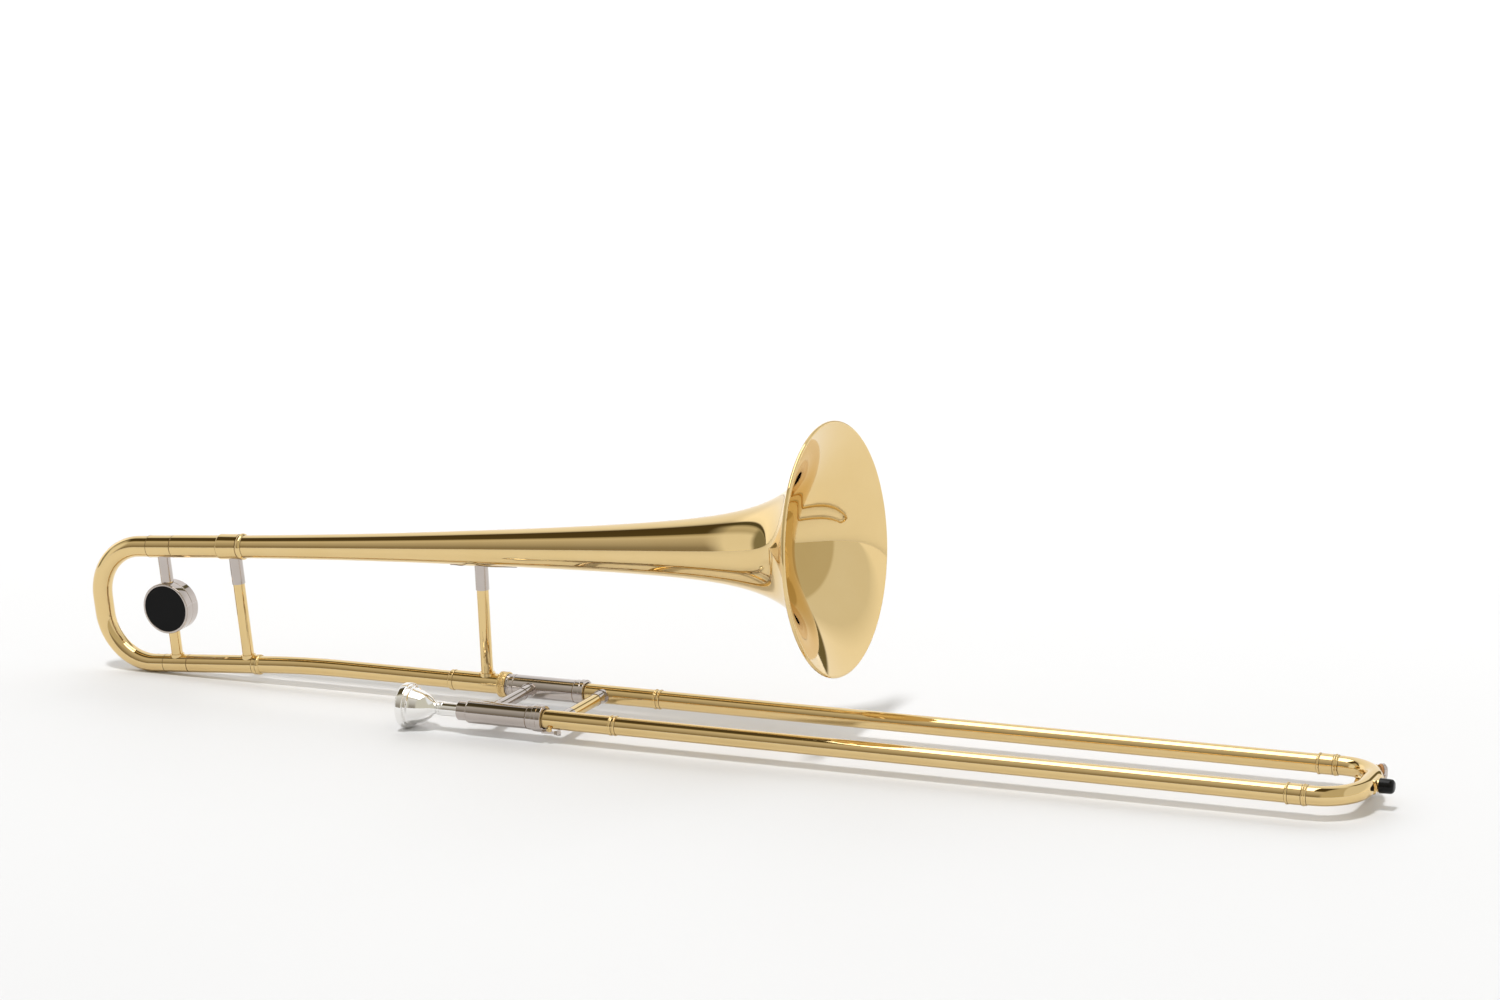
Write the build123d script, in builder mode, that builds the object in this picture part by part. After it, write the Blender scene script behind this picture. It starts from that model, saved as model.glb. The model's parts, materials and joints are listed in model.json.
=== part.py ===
from build123d import *
import math
import os

os.makedirs("parts", exist_ok=True)

# Straight tenor trombone lying at rest on a floor.
# Row frame: +X runs along the hand slide towards its bow, +Y runs across the
# slide from the mouthpiece side to the bell side, +Z is up, z = 0 is the floor.
# All sizes are in millimetres.

# ---------------------------------------------------------------- placement
X_SHIFT = -43.33         # moves the slide datum so that the box is centred in x
Y_SHIFT = 4.335          # moves the bell-side slide tube so that the box is centred in y
SLIDE_H = 18.6           # height of the hand slide's two axes above the floor
SLIDE_W = 82.6          # distance between the two slide axes
BELL_TILT = 4.03         # the bell section climbs away from the slide, degrees
BELL_LEAN = 1.79         # the bell section leans towards the mouthpiece side, degrees
BEND_X = -330.4          # where the gooseneck axis meets the slide axis
BELL_T = 103.85          # distance between the bell axis and the gooseneck axis

# --------------------------------------------------------------- hand slide
OUT_R, OUT_RI = 7.40, 7.00            # outer slide tube
GRIP_R = 7.70                         # sleeve on the first stretch of each outer tube
IN_R, IN_RI = 6.65, 6.35              # inner slide tube
STOCK_R = 6.95                        # stocking, the only part that rubs
OUT_X0, OUT_X1 = -109.0, 560.5        # ends of the outer tubes
IN_X1 = 556.5                         # lower end of the inner tubes
STOCK_L = 115.0
GRIP_X1 = 0.4
BARREL_R, BARREL_RI = 9.50, 8.90
BARREL_X0, BARREL_X1 = -130.0, -66.1
FLANGE_R, FLANGE_RI = 10.40, 8.35
STAY_X, STAY_R = -114.3, 4.9
BRACE_X, BRACE_R = -48.5, 4.9
BOW_X, BOW_R, BOW_TUBE_R, BOW_TUBE_RI = 574.3, 32.0, 7.55, 7.0
FERRULE_X0, FERRULE_X1, FERRULE_R = 555.8, 572.2, 8.1
BUMPER_TIP = 626.4

# --------------------------------------------------------------- mouthpiece
MP_RIM_X = -191.5
MP_RIM_R = 18.6
MP_TIP_X = -112.5
RECEIVER_X0, RECEIVER_R = -139.5, 7.9

# ------------------------------------------------------------- bell section
SLEEVE_S0, SLEEVE_S1 = -116.6, -47.8        # lower outer tuning sleeve
LOW_R, LOW_RI = 7.85, 7.40
UP_R, UP_RI = 9.75, 9.25
UP_S1 = -58.3
NECK_R, NECK_RI = 7.35, 6.85
NECK_BEND_R = 1000.0
REC_X0, REC_X1, REC_R = -189.0, -141.9, 8.40
NUT_X0, NUT_X1, NUT_R = -145.0, -137.2, 10.9
BELL_WALL = 0.6
BELL = [(-50.6, 9.75), (5.7, 10.3), (60.2, 11.2), (114.9, 12.5), (168.7, 14.15), (223.6, 16.0),
        (278.7, 18.3), (334.0, 21.3), (373.5, 24.5), (408.2, 29.1), (433.0, 34.9), (452.8, 42.5),
        (468.7, 52.2), (480.6, 63.4), (490.6, 77.4), (497.2, 89.8), (501.7, 100.3)]
RIM_S, RIM_R, RIM_WIRE = 500.7, 100.4, 1.6

# ------------------------------------------------------------- tuning slide
CROOK_S = -141.2
CROOK_R0, CROOK_R1 = 7.70, 9.10
CROOK_BEND_R, CROOK_BACK_S = 45.0, -197.1
LEG_LOW_R, LEG_UP_R = 7.35, 9.20
COLLAR_LOW_R, COLLAR_UP_R, COLLAR_S1 = 7.80, 9.55, -116.9
TS_BRACE_S, TS_BRACE_R, TS_SLEEVE_R = -129.1, 4.9, 5.4
CW_T, CW_R, CW_THICK = 50.7, 22.1, 18.3

# --------------------------------------------------------------- directions
_b, _p = math.radians(BELL_TILT), math.radians(BELL_LEAN)
E1 = Vector(math.cos(_b), -math.sin(_b) * math.sin(_p), math.sin(_b) * math.cos(_p))
E2 = Vector(-math.sin(_b), -math.cos(_b) * math.sin(_p), math.cos(_b) * math.cos(_p))
EN = E1.cross(E2)                       # normal of the bell section's plane
UP = Vector(0, -math.sin(_p), math.cos(_p))
BEND = Vector(BEND_X + X_SHIFT, Y_SHIFT, SLIDE_H)


def slide_point(x, y=0.0, z=0.0):
    return Vector(x + X_SHIFT, y + Y_SHIFT, SLIDE_H + z)


def bell_point(s, t, n=0.0):
    return BEND + E1 * s + E2 * t + EN * n


def across_slide(x, y):
    """Plane square to a slide tube: its normal runs along the slide."""
    return Plane(origin=slide_point(x, y), x_dir=(0, 1, 0), z_dir=(1, 0, 0))


def slide_turning(y):
    """Plane through a slide tube's axis: local x is the slide datum's x, local y the radius."""
    return Plane(origin=slide_point(0, y), x_dir=(1, 0, 0), z_dir=(0, -1, 0))


def across_bell(s, t):
    return Plane(origin=bell_point(s, t), x_dir=E2, z_dir=E1)


def bell_turning(t):
    return Plane(origin=bell_point(0, t), x_dir=E1, z_dir=EN)


def pipe(plane, r_out, r_in, length):
    """A tube that starts on the plane and runs along its normal."""
    with BuildSketch(plane) as ring:
        Circle(r_out)
        Circle(r_in, mode=Mode.SUBTRACT)
    extrude(ring.sketch, amount=length)


def rod(plane, r, length, mode=Mode.ADD):
    with BuildSketch(plane) as disc:
        Circle(r)
    extrude(disc.sketch, amount=length, mode=mode)


def turned(plane, start, *segments, mode=Mode.ADD):
    """Revolve a closed profile about the plane's own x axis."""
    with BuildSketch(plane) as half:
        with BuildLine():
            here = start
            for seg in segments:
                if seg[0] == "arc":
                    ThreePointArc(here, seg[1], seg[2])
                    here = seg[2]
                elif seg[0] == "spline":
                    Spline(here, *seg[1:])
                    here = seg[-1]
                elif seg != here:
                    Line(here, seg)
                    here = seg
            if here != start:
                Line(here, start)
        make_face()
    revolve(half.sketch, axis=Axis(plane.origin, plane.x_dir), mode=mode)


def offset_curve(points, d):
    """Points of a curve moved by d towards the axis, square to the curve."""
    out = []
    for i, (s, r) in enumerate(points):
        a, b = points[max(i - 1, 0)], points[min(i + 1, len(points) - 1)]
        ds, dr = b[0] - a[0], b[1] - a[1]
        n = math.hypot(ds, dr)
        out.append((s + d * dr / n, r - d * ds / n))
    return out


# =================================================================== slide
# The two inner tubes and what is fixed to them.  This is the fixed body.
with BuildPart() as inner_tube_near:
    pipe(across_slide(BARREL_X0, -SLIDE_W), IN_R, IN_RI, IN_X1 - BARREL_X0)
inner_tube_near.part.label = "inner_tube_near"
export_step(inner_tube_near.part, "parts/inner_tube_near.step")

with BuildPart() as inner_tube_far:
    pipe(across_slide(-183.5, 0), IN_R, IN_RI, IN_X1 + 183.5)
inner_tube_far.part.label = "inner_tube_far"
export_step(inner_tube_far.part, "parts/inner_tube_far.step")

# The stockings are the slightly fatter ends of the inner tubes.
with BuildPart() as slide_stockings:
    for y in (0.0, -SLIDE_W):
        x0, x1 = IN_X1 - STOCK_L, IN_X1
        turned(slide_turning(y), (x0, IN_R), (x0 + 2.0, STOCK_R), (x1 - 1.0, STOCK_R), (x1, IN_R))
slide_stockings.part.label = "slide_stockings"
export_step(slide_stockings.part, "parts/slide_stockings.step")

with BuildPart() as leadpipe:
    turned(slide_turning(-SLIDE_W), (RECEIVER_X0, 5.72), (MP_TIP_X, 5.32), (-103.0, 4.95), (-60.0, 5.35),
           (70.0, 6.10), (70.0, IN_RI), (RECEIVER_X0, IN_RI))
leadpipe.part.label = "leadpipe"
export_step(leadpipe.part, "parts/leadpipe.step")

with BuildPart() as mouthpiece_receiver:
    x0, x1 = RECEIVER_X0, BARREL_X0
    turned(slide_turning(-SLIDE_W), (x0, IN_RI), (x0, 7.3), ("arc", (x0 + 0.2, 7.8), (x0 + 0.7, RECEIVER_R)),
           (x1 - 1.0, RECEIVER_R), (x1 - 1.0, 8.7), ("arc", (x1 - 0.5, 9.0), (x1, 8.7)), (x1, IN_RI))
mouthpiece_receiver.part.label = "mouthpiece_receiver"
export_step(mouthpiece_receiver.part, "parts/mouthpiece_receiver.step")


def barrel_profile(y, x1, flanged):
    x0 = BARREL_X0
    outer = [(x0, BARREL_R - 0.5), ("arc", (x0 + 0.2, BARREL_R - 0.15), (x0 + 0.6, BARREL_R))]
    if flanged:
        outer += [(x1 - 9.5, BARREL_R), ("arc", (x1 - 9.0, BARREL_R + 0.35), (x1 - 8.4, BARREL_R + 0.4)),
                  (x1 - 4.6, BARREL_R + 0.4), (x1 - 4.6, FLANGE_R - 0.3),
                  ("arc", (x1 - 4.3, FLANGE_R), (x1 - 3.9, FLANGE_R)), (x1 - 0.8, FLANGE_R),
                  ("arc", (x1 - 0.2, FLANGE_R - 0.25), (x1, FLANGE_R - 0.8)), (x1, FLANGE_RI),
                  (x1 - 3.0, FLANGE_RI)]
    else:
        outer += [(x1 - 9.5, BARREL_R), ("arc", (x1 - 9.0, BARREL_R + 0.35), (x1 - 8.4, BARREL_R + 0.4)),
                  (x1, BARREL_R + 0.4), (x1, FLANGE_RI), (x1 - 2.0, FLANGE_RI)]
    last = outer[-1][0]
    outer += [(last, BARREL_RI), (x0 + 4.0, BARREL_RI), (x0 + 4.0, IN_R)]
    turned(slide_turning(y), (x0, IN_R), *outer)


with BuildPart() as cork_barrel_far:
    barrel_profile(0.0, -65.1, True)
cork_barrel_far.part.label = "cork_barrel_far"
export_step(cork_barrel_far.part, "parts/cork_barrel_far.step")

with BuildPart() as cork_barrel_near:
    barrel_profile(-SLIDE_W, BARREL_X1, False)
cork_barrel_near.part.label = "cork_barrel_near"
export_step(cork_barrel_near.part, "parts/cork_barrel_near.step")

# Buffer corks at the bottom of each barrel stop the outer slide softly.
with BuildPart() as slide_corks:
    for y in (0.0, -SLIDE_W):
        pipe(across_slide(BARREL_X0 + 4.0, y), 8.6, IN_R, OUT_X0 - 0.3 - BARREL_X0 - 4.0)
slide_corks.part.label = "slide_corks"
export_step(slide_corks.part, "parts/slide_corks.step")

# Tapered and threaded tenon that the bell section sits on.
with BuildPart() as slide_tenon:
    turned(slide_turning(0.0), (-183.5, IN_R), (-183.5, 7.50), (-143.4, 7.85), (-141.2, 7.85), (-141.2, 8.9),
           (-140.6, 9.2), (-140.0, 8.9), (-139.4, 9.2), (-138.8, 8.9), (-138.2, 9.2), (-137.6, 8.9),
           (-137.0, 9.2), (-136.4, 8.9), (-135.8, 9.2), (-135.0, 8.8), (-134.4, 8.8), (-134.2, 9.1),
           ("arc", (-133.9, 9.4), (-133.5, 9.5)), (-131.0, 9.5), ("arc", (-130.6, 9.35), (-130.4, 9.0)),
           (BARREL_X0, 9.0), (BARREL_X0, IN_R))
slide_tenon.part.label = "slide_tenon"
export_step(slide_tenon.part, "parts/slide_tenon.step")


def cross_plane(x, y, d):
    """Plane square to a stay, at distance y across the slide, facing d."""
    return Plane(origin=slide_point(x, y), x_dir=(1, 0, 0), z_dir=(0, d, 0))


def cross_stay(x, r, wall, gap, tube_cut):
    """Hollow bar between the two slide axes, cut to sit on the tubes."""
    pipe(cross_plane(x, -SLIDE_W + gap, 1), r, r - wall, SLIDE_W - 2 * gap)
    for y in (0.0, -SLIDE_W):
        rod(across_slide(x - 20, y), tube_cut, 40, mode=Mode.SUBTRACT)


def stay_ends(x, r, r_in, length, tube_r):
    """Two end sleeves, each with a rounded saddle that hugs its tube."""
    for y, d in ((0.0, -1), (-SLIDE_W, 1)):
        pipe(cross_plane(x, y + d * (tube_r + length), -d), r, r_in, length + 3.0)
        with BuildSketch(cross_plane(x, y + d * (tube_r + 1.0), -d)) as pad:
            Ellipse(r + 1.7, r + 0.4)
            Circle(r_in, mode=Mode.SUBTRACT)
        extrude(pad.sketch, amount=5.0)
    for y in (0.0, -SLIDE_W):
        rod(across_slide(x - 20, y), tube_r, 40, mode=Mode.SUBTRACT)


with BuildPart() as inner_stay:
    cross_stay(STAY_X, STAY_R, 1.0, 6.0, BARREL_R)
inner_stay.part.label = "inner_stay"
export_step(inner_stay.part, "parts/inner_stay.step")

with BuildPart() as inner_stay_sleeves:
    stay_ends(STAY_X, 5.35, STAY_R, 12.0, BARREL_R)
inner_stay_sleeves.part.label = "inner_stay_sleeves"
export_step(inner_stay_sleeves.part, "parts/inner_stay_sleeves.step")

# ------------------------------------------------------------ slide lock
LOCK_X0, LOCK_X1 = -70.3, -61.8
with BuildPart() as slide_lock_ring:
    turned(slide_turning(-SLIDE_W), (LOCK_X0, BARREL_R + 0.45), (LOCK_X0, 10.5),
           ("arc", (LOCK_X0 + 0.2, 10.75), (LOCK_X0 + 0.5, 10.85)), (-66.5, 10.85), (-66.2, 10.55), (-65.9, 10.85),
           (LOCK_X1 - 0.8, 10.85), ("arc", (LOCK_X1 - 0.2, 10.6), (LOCK_X1, 10.1)), (LOCK_X1, FLANGE_RI),
           (-65.75, FLANGE_RI), (-65.75, BARREL_R + 0.45))
    # arm along the slide, under the ring, and the finger that catches the peg
    with BuildSketch(Plane(origin=slide_point(-64.9, -SLIDE_W), x_dir=(0, 1, 0), z_dir=(1, 0, 0))):
        with BuildLine():
            a0, a1, ra, rb = math.radians(-98), math.radians(-80), 10.2, 12.0
            l1 = ThreePointArc((rb * math.cos(a0), rb * math.sin(a0)), (0.0, -rb), (rb * math.cos(a1), rb * math.sin(a1)))
            l2 = Line(l1 @ 1, (ra * math.cos(a1), ra * math.sin(a1)))
            l3 = ThreePointArc(l2 @ 1, (0.0, -ra), (ra * math.cos(a0), ra * math.sin(a0)))
            Line(l3 @ 1, l1 @ 0)
        make_face()
    extrude(amount=16.0)
    with BuildSketch(Plane(origin=slide_point(-51.7, -SLIDE_W), x_dir=(0, 1, 0), z_dir=(1, 0, 0))):
        with BuildLine():
            a0, a1, am, ra, rb = math.radians(-115), math.radians(-80), math.radians(-97), 8.9, 12.0
            l1 = ThreePointArc((rb * math.cos(a0), rb * math.sin(a0)), (rb * math.cos(am), rb * math.sin(am)),
                               (rb * math.cos(a1), rb * math.sin(a1)))
            l2 = Line(l1 @ 1, (ra * math.cos(a1), ra * math.sin(a1)))
            l3 = ThreePointArc(l2 @ 1, (ra * math.cos(am), ra * math.sin(am)), (ra * math.cos(a0), ra * math.sin(a0)))
            Line(l3 @ 1, l1 @ 0)
        make_face()
    extrude(amount=2.7)
slide_lock_ring.part.label = "slide_lock_ring"
export_step(slide_lock_ring.part, "parts/slide_lock_ring.step")

# Round-headed screw on the end of the lock arm.
with BuildPart() as lock_arm_screw:
    with BuildSketch(Plane(origin=slide_point(-50.4, -SLIDE_W + 0.2, -12.0), x_dir=(1, 0, 0), z_dir=(0, 0, -1))):
        Circle(2.1)
    extrude(amount=1.1)
    fillet(lock_arm_screw.faces().sort_by(Axis.Z)[0].edges(), radius=0.5)
    with BuildSketch(Plane(origin=slide_point(-50.4, -SLIDE_W + 0.2, -13.2), x_dir=(1, 0, 0), z_dir=(0, 0, 1))):
        Rectangle(5.0, 0.55)
    extrude(amount=0.5, mode=Mode.SUBTRACT)
lock_arm_screw.part.label = "lock_arm_screw"
export_step(lock_arm_screw.part, "parts/lock_arm_screw.step")

# =============================================================== outer slide
with BuildPart() as outer_tube_near:
    pipe(across_slide(OUT_X0, -SLIDE_W), OUT_R, OUT_RI, OUT_X1 - OUT_X0)
outer_tube_near.part.label = "outer_tube_near"
export_step(outer_tube_near.part, "parts/outer_tube_near.step")

with BuildPart() as outer_tube_far:
    pipe(across_slide(OUT_X0, 0), OUT_R, OUT_RI, OUT_X1 - OUT_X0)
outer_tube_far.part.label = "outer_tube_far"
export_step(outer_tube_far.part, "parts/outer_tube_far.step")

with BuildPart() as grip_sleeves:
    for y in (0.0, -SLIDE_W):
        turned(slide_turning(y), (OUT_X0 + 1.0, OUT_R), (OUT_X0 + 1.6, GRIP_R), (GRIP_X1 - 3.2, GRIP_R),
               (GRIP_X1 - 3.2, OUT_R))
grip_sleeves.part.label = "grip_sleeves"
export_step(grip_sleeves.part, "parts/grip_sleeves.step")

# Pair of raised rings at the end of each grip sleeve.
with BuildPart() as grip_bands:
    for y in (0.0, -SLIDE_W):
        x0 = GRIP_X1 - 3.2
        turned(slide_turning(y), (x0, OUT_R), (x0, GRIP_R + 0.1), ("arc", (x0 + 0.9, GRIP_R + 0.6), (x0 + 1.8, GRIP_R + 0.1)),
               (x0 + 2.2, GRIP_R), (x0 + 3.6, GRIP_R), (x0 + 4.0, GRIP_R + 0.1),
               ("arc", (x0 + 4.8, GRIP_R + 0.5), (x0 + 5.6, GRIP_R - 0.1)), (x0 + 5.8, OUT_R))
grip_bands.part.label = "grip_bands"
export_step(grip_bands.part, "parts/grip_bands.step")

with BuildPart() as outer_brace:
    cross_stay(BRACE_X, BRACE_R, 1.0, 5.0, GRIP_R)
outer_brace.part.label = "outer_brace"
export_step(outer_brace.part, "parts/outer_brace.step")

with BuildPart() as outer_brace_sleeves:
    stay_ends(BRACE_X, 5.35, BRACE_R, 11.0, GRIP_R)
outer_brace_sleeves.part.label = "outer_brace_sleeves"
export_step(outer_brace_sleeves.part, "parts/outer_brace_sleeves.step")

# Brass peg that the slide lock catches.
PEG_A = math.radians(45.0)
PEG_DIR = Vector(0, -math.sin(PEG_A), -math.cos(PEG_A))
with BuildPart() as lock_peg:
    with BuildSketch(Plane(origin=slide_point(-55.1, -SLIDE_W) + PEG_DIR * 5.0, x_dir=(1, 0, 0), z_dir=PEG_DIR)):
        Circle(1.7)
    extrude(amount=5.2)
    with BuildSketch(Plane(origin=slide_point(-55.1, -SLIDE_W) + PEG_DIR * 9.0, x_dir=(1, 0, 0), z_dir=PEG_DIR)):
        Circle(2.4)
    extrude(amount=1.9)
    fillet(lock_peg.edges().sort_by(Axis(slide_point(-55.1, -SLIDE_W), PEG_DIR))[-1], radius=0.9)
    with BuildSketch(across_slide(-65, -SLIDE_W)):
        Circle(GRIP_R)
    extrude(amount=20, mode=Mode.SUBTRACT)
lock_peg.part.label = "lock_peg"
export_step(lock_peg.part, "parts/lock_peg.step")

with BuildPart() as bow_ferrules:
    for y in (0.0, -SLIDE_W):
        x0, x1, r = FERRULE_X0, FERRULE_X1, FERRULE_R
        turned(slide_turning(y), (x0, OUT_R), (x0, r), ("arc", (x0 + 0.9, r + 0.42), (x0 + 1.8, r)), (x0 + 2.2, r - 0.05),
               (x1 - 4.0, r - 0.05), (x1 - 3.6, r), ("arc", (x1 - 2.7, r + 0.42), (x1 - 1.8, r)),
               (x1 - 1.7, r - 0.15), ("arc", (x1 - 0.8, r + 0.1), (x1, BOW_TUBE_R + 0.1)), (x1, BOW_TUBE_R),
               (OUT_X1, BOW_TUBE_R), (OUT_X1, OUT_R))
bow_ferrules.part.label = "bow_ferrules"
export_step(bow_ferrules.part, "parts/bow_ferrules.step")

# Water key: the nipple on the outside of the far bend, its saddle below the bend.
WK_A = math.radians(45.0)
WK_C = slide_point(BOW_X, -BOW_R)                      # centre of the far bend
WK_D = Vector(math.cos(WK_A), math.sin(WK_A), 0)       # outwards
WK_T = Vector(-math.sin(WK_A), math.cos(WK_A), 0)      # along the pivot pin
PIVOT_RHO, PIVOT_Z, HUB_R, PIN_R = 22.0, 3.0, 3.0, 1.0
PIVOT = Vector(WK_C.X, WK_C.Y, 0) + WK_D * PIVOT_RHO + Vector(0, 0, PIVOT_Z)
NIP_R0, NIP_R1 = 38.0, 41.6                            # the nipple's ends, from the bend's centre


# A ring-shaped solid: the bow's outer surface carried all the way round the far bend.
with BuildPart() as bend_solid:
    with BuildSketch(Plane(origin=WK_C + WK_D * BOW_R, x_dir=WK_D, z_dir=-WK_T)):
        Circle(BOW_TUBE_R)
    revolve(axis=Axis(WK_C, (0, 0, 1)))

with BuildPart() as tone_hole:
    rod(Plane(origin=WK_C + WK_D * 34, x_dir=(0, 0, 1), z_dir=WK_D), 2.1, 12)

with BuildPart() as slide_bow:
    with BuildLine():
        FilletPolyline(slide_point(OUT_X1, -SLIDE_W), slide_point(BOW_X + BOW_R, -SLIDE_W),
                       slide_point(BOW_X + BOW_R, 0), slide_point(OUT_X1, 0), radius=BOW_R)
    with BuildSketch(across_slide(OUT_X1, -SLIDE_W)):
        Circle(BOW_TUBE_R)
        Circle(BOW_TUBE_RI, mode=Mode.SUBTRACT)
    sweep()
    add(tone_hole.part, mode=Mode.SUBTRACT)
slide_bow.part.label = "slide_bow"
export_step(slide_bow.part, "parts/slide_bow.step")

with BuildPart() as water_key_nipple:
    rod(Plane(origin=WK_C + WK_D * 36.0, x_dir=(0, 0, 1), z_dir=WK_D), 4.6, 3.8)
    rod(Plane(origin=WK_C + WK_D * 36.0, x_dir=(0, 0, 1), z_dir=WK_D), 3.3, NIP_R1 - 36.0)
    rod(Plane(origin=WK_C + WK_D * 34.0, x_dir=(0, 0, 1), z_dir=WK_D), 2.1, 12, mode=Mode.SUBTRACT)
    add(bend_solid.part, mode=Mode.SUBTRACT)
water_key_nipple.part.label = "water_key_nipple"
export_step(water_key_nipple.part, "parts/water_key_nipple.step")

# Radial plane through the pivot: local x points outwards, local y up.
POST_T0, POST_T1 = 3.6, 5.2
TO_TUBE = Vector(BOW_R - PIVOT_RHO, SLIDE_H - PIVOT_Z, 0)          # pivot to the bow's axis, in that plane
FOOT = (WK_D * (-TO_TUBE.X) + Vector(0, 0, -TO_TUBE.Y)).normalized()
_l = math.hypot(TO_TUBE.X, TO_TUBE.Y)
WX, WY = TO_TUBE.X / _l, TO_TUBE.Y / _l
with BuildPart() as water_key_saddle:
    with BuildSketch(Plane(origin=WK_C + WK_D * BOW_R, x_dir=WK_T, z_dir=FOOT)):
        RectangleRounded(14.0, 9.5, 2.5)
    extrude(amount=14.0)
    with BuildSketch(Plane(origin=WK_C + WK_D * BOW_R, x_dir=WK_D, z_dir=-WK_T)):
        Circle(BOW_TUBE_R + 1.1)
        Circle(BOW_TUBE_R, mode=Mode.SUBTRACT)
    revolve(axis=Axis(WK_C, (0, 0, 1)), mode=Mode.INTERSECT)
    for t0 in (-POST_T0, POST_T1):
        with BuildSketch(Plane(origin=PIVOT + WK_T * t0, x_dir=WK_D, z_dir=-WK_T)):
            Circle(2.5)
            with BuildLine():
                Polyline((-2.5 * WY, 2.5 * WX), (2.5 * WY, -2.5 * WX),
                         (12.6 * WX + 3.6 * WY, 12.6 * WY - 3.6 * WX),
                         (12.6 * WX - 3.6 * WY, 12.6 * WY + 3.6 * WX), close=True)
            make_face()
        extrude(amount=POST_T1 - POST_T0)
    add(bend_solid.part, mode=Mode.SUBTRACT)
    rod(Plane(origin=PIVOT - WK_T * 10, x_dir=WK_D, z_dir=WK_T), PIN_R, 20, mode=Mode.SUBTRACT)
water_key_saddle.part.label = "water_key_saddle"
export_step(water_key_saddle.part, "parts/water_key_saddle.step")

with BuildPart() as water_key_pin:
    rod(Plane(origin=PIVOT - WK_T * (POST_T1 + 0.2), x_dir=WK_D, z_dir=WK_T), PIN_R, 2 * POST_T1 + 0.4)
    rod(Plane(origin=PIVOT + WK_T * POST_T1, x_dir=WK_D, z_dir=WK_T), 1.8, 0.8)
    fillet(water_key_pin.edges().sort_by(Axis(PIVOT, WK_T))[-1], radius=0.3)
water_key_pin.part.label = "water_key_pin"
export_step(water_key_pin.part, "parts/water_key_pin.step")

# Return spring: a few turns of wire round the pin, beside the hub.
with BuildPart() as water_key_spring:
    with BuildLine() as coil:
        Helix(pitch=0.64, height=1.92, radius=1.9, center=PIVOT + WK_T * 1.25, direction=WK_T)
    with BuildSketch(Plane(origin=coil.line @ 0, z_dir=coil.line % 0)):
        Circle(0.27)
    sweep(is_frenet=True)
water_key_spring.part.label = "water_key_spring"
export_step(water_key_spring.part, "parts/water_key_spring.step")

CORK_R0, CORK_R1 = NIP_R1 + 0.15, NIP_R1 + 3.2
LV = Plane(origin=PIVOT + WK_T * 2.5, x_dir=WK_D, z_dir=-WK_T)
_cx, _cz = CORK_R1 - PIVOT_RHO, SLIDE_H - PIVOT_Z      # back of the cork, seen from the pivot
with BuildPart() as water_key_lever:
    rod(Plane(origin=PIVOT - WK_T * 3.2, x_dir=WK_D, z_dir=WK_T), HUB_R, 4.0)
    # arm that passes under the bow and rises behind the cork
    with BuildSketch(LV):
        with BuildLine():
            up = Spline((0, 1.0), (8, 1.3), (15.5, 3.2), (20.2, 6.0), (_cx + 0.4, 10.4), (_cx + 0.9, _cz))
            top = Line(up @ 1, (_cx + 2.4, _cz))
            low = Spline(top @ 1, (_cx + 2.2, 9.6), (21.4, 4.4), (16, 1.5), (8, -0.4), (0, -0.8))
            Line(low @ 1, up @ 0)
        make_face()
    extrude(amount=5.0)
    # round cup that holds the cork
    rod(Plane(origin=PIVOT + WK_D * _cx + Vector(0, 0, _cz), x_dir=(0, 0, 1), z_dir=WK_D), 4.8, 1.1)
    with BuildSketch(Plane(origin=PIVOT + WK_D * (_cx - 1.2) + Vector(0, 0, _cz), x_dir=(0, 0, 1), z_dir=WK_D)):
        Circle(4.8)
        Circle(4.25, mode=Mode.SUBTRACT)
    extrude(amount=1.3)
    rod(Plane(origin=PIVOT + WK_D * (_cx + 1.0) + Vector(0, 0, _cz), x_dir=(0, 0, 1), z_dir=WK_D), 3.0, 1.5)
    # finger plate on the inner side
    with BuildSketch(LV):
        with BuildLine():
            t1 = Spline((0, 1.6), (-6, 0.6), (-12, 0.3), (-20, 1.6))
            t2 = Line(t1 @ 1, (-20, 0.4))
            t3 = Spline(t2 @ 1, (-12, -0.9), (-6, -0.9), (0, -1.0))
            Line(t3 @ 1, t1 @ 0)
        make_face()
    extrude(amount=5.0)
    with BuildSketch(Plane(origin=PIVOT - WK_D * 15.6 + Vector(0, 0, -0.9), x_dir=WK_D, z_dir=(0, 0, 1))):
        Ellipse(5.2, 4.4)
    extrude(amount=1.7)
    rod(Plane(origin=PIVOT - WK_T * 10, x_dir=WK_D, z_dir=WK_T), PIN_R + 0.06, 20, mode=Mode.SUBTRACT)
    # room for the spring beside the hub, and for both posts
    with BuildSketch(Plane(origin=PIVOT + WK_T * 0.8, x_dir=WK_D, z_dir=WK_T)):
        Circle(3.4)
    extrude(amount=6.0, mode=Mode.SUBTRACT)
water_key_lever.part.label = "water_key_lever"
export_step(water_key_lever.part, "parts/water_key_lever.step")

with BuildPart() as water_key_cork:
    rod(Plane(origin=WK_C + WK_D * CORK_R0, x_dir=(0, 0, 1), z_dir=WK_D), 4.25, CORK_R1 - CORK_R0)
water_key_cork.part.label = "water_key_cork"
export_step(water_key_cork.part, "parts/water_key_cork.step")

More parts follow.
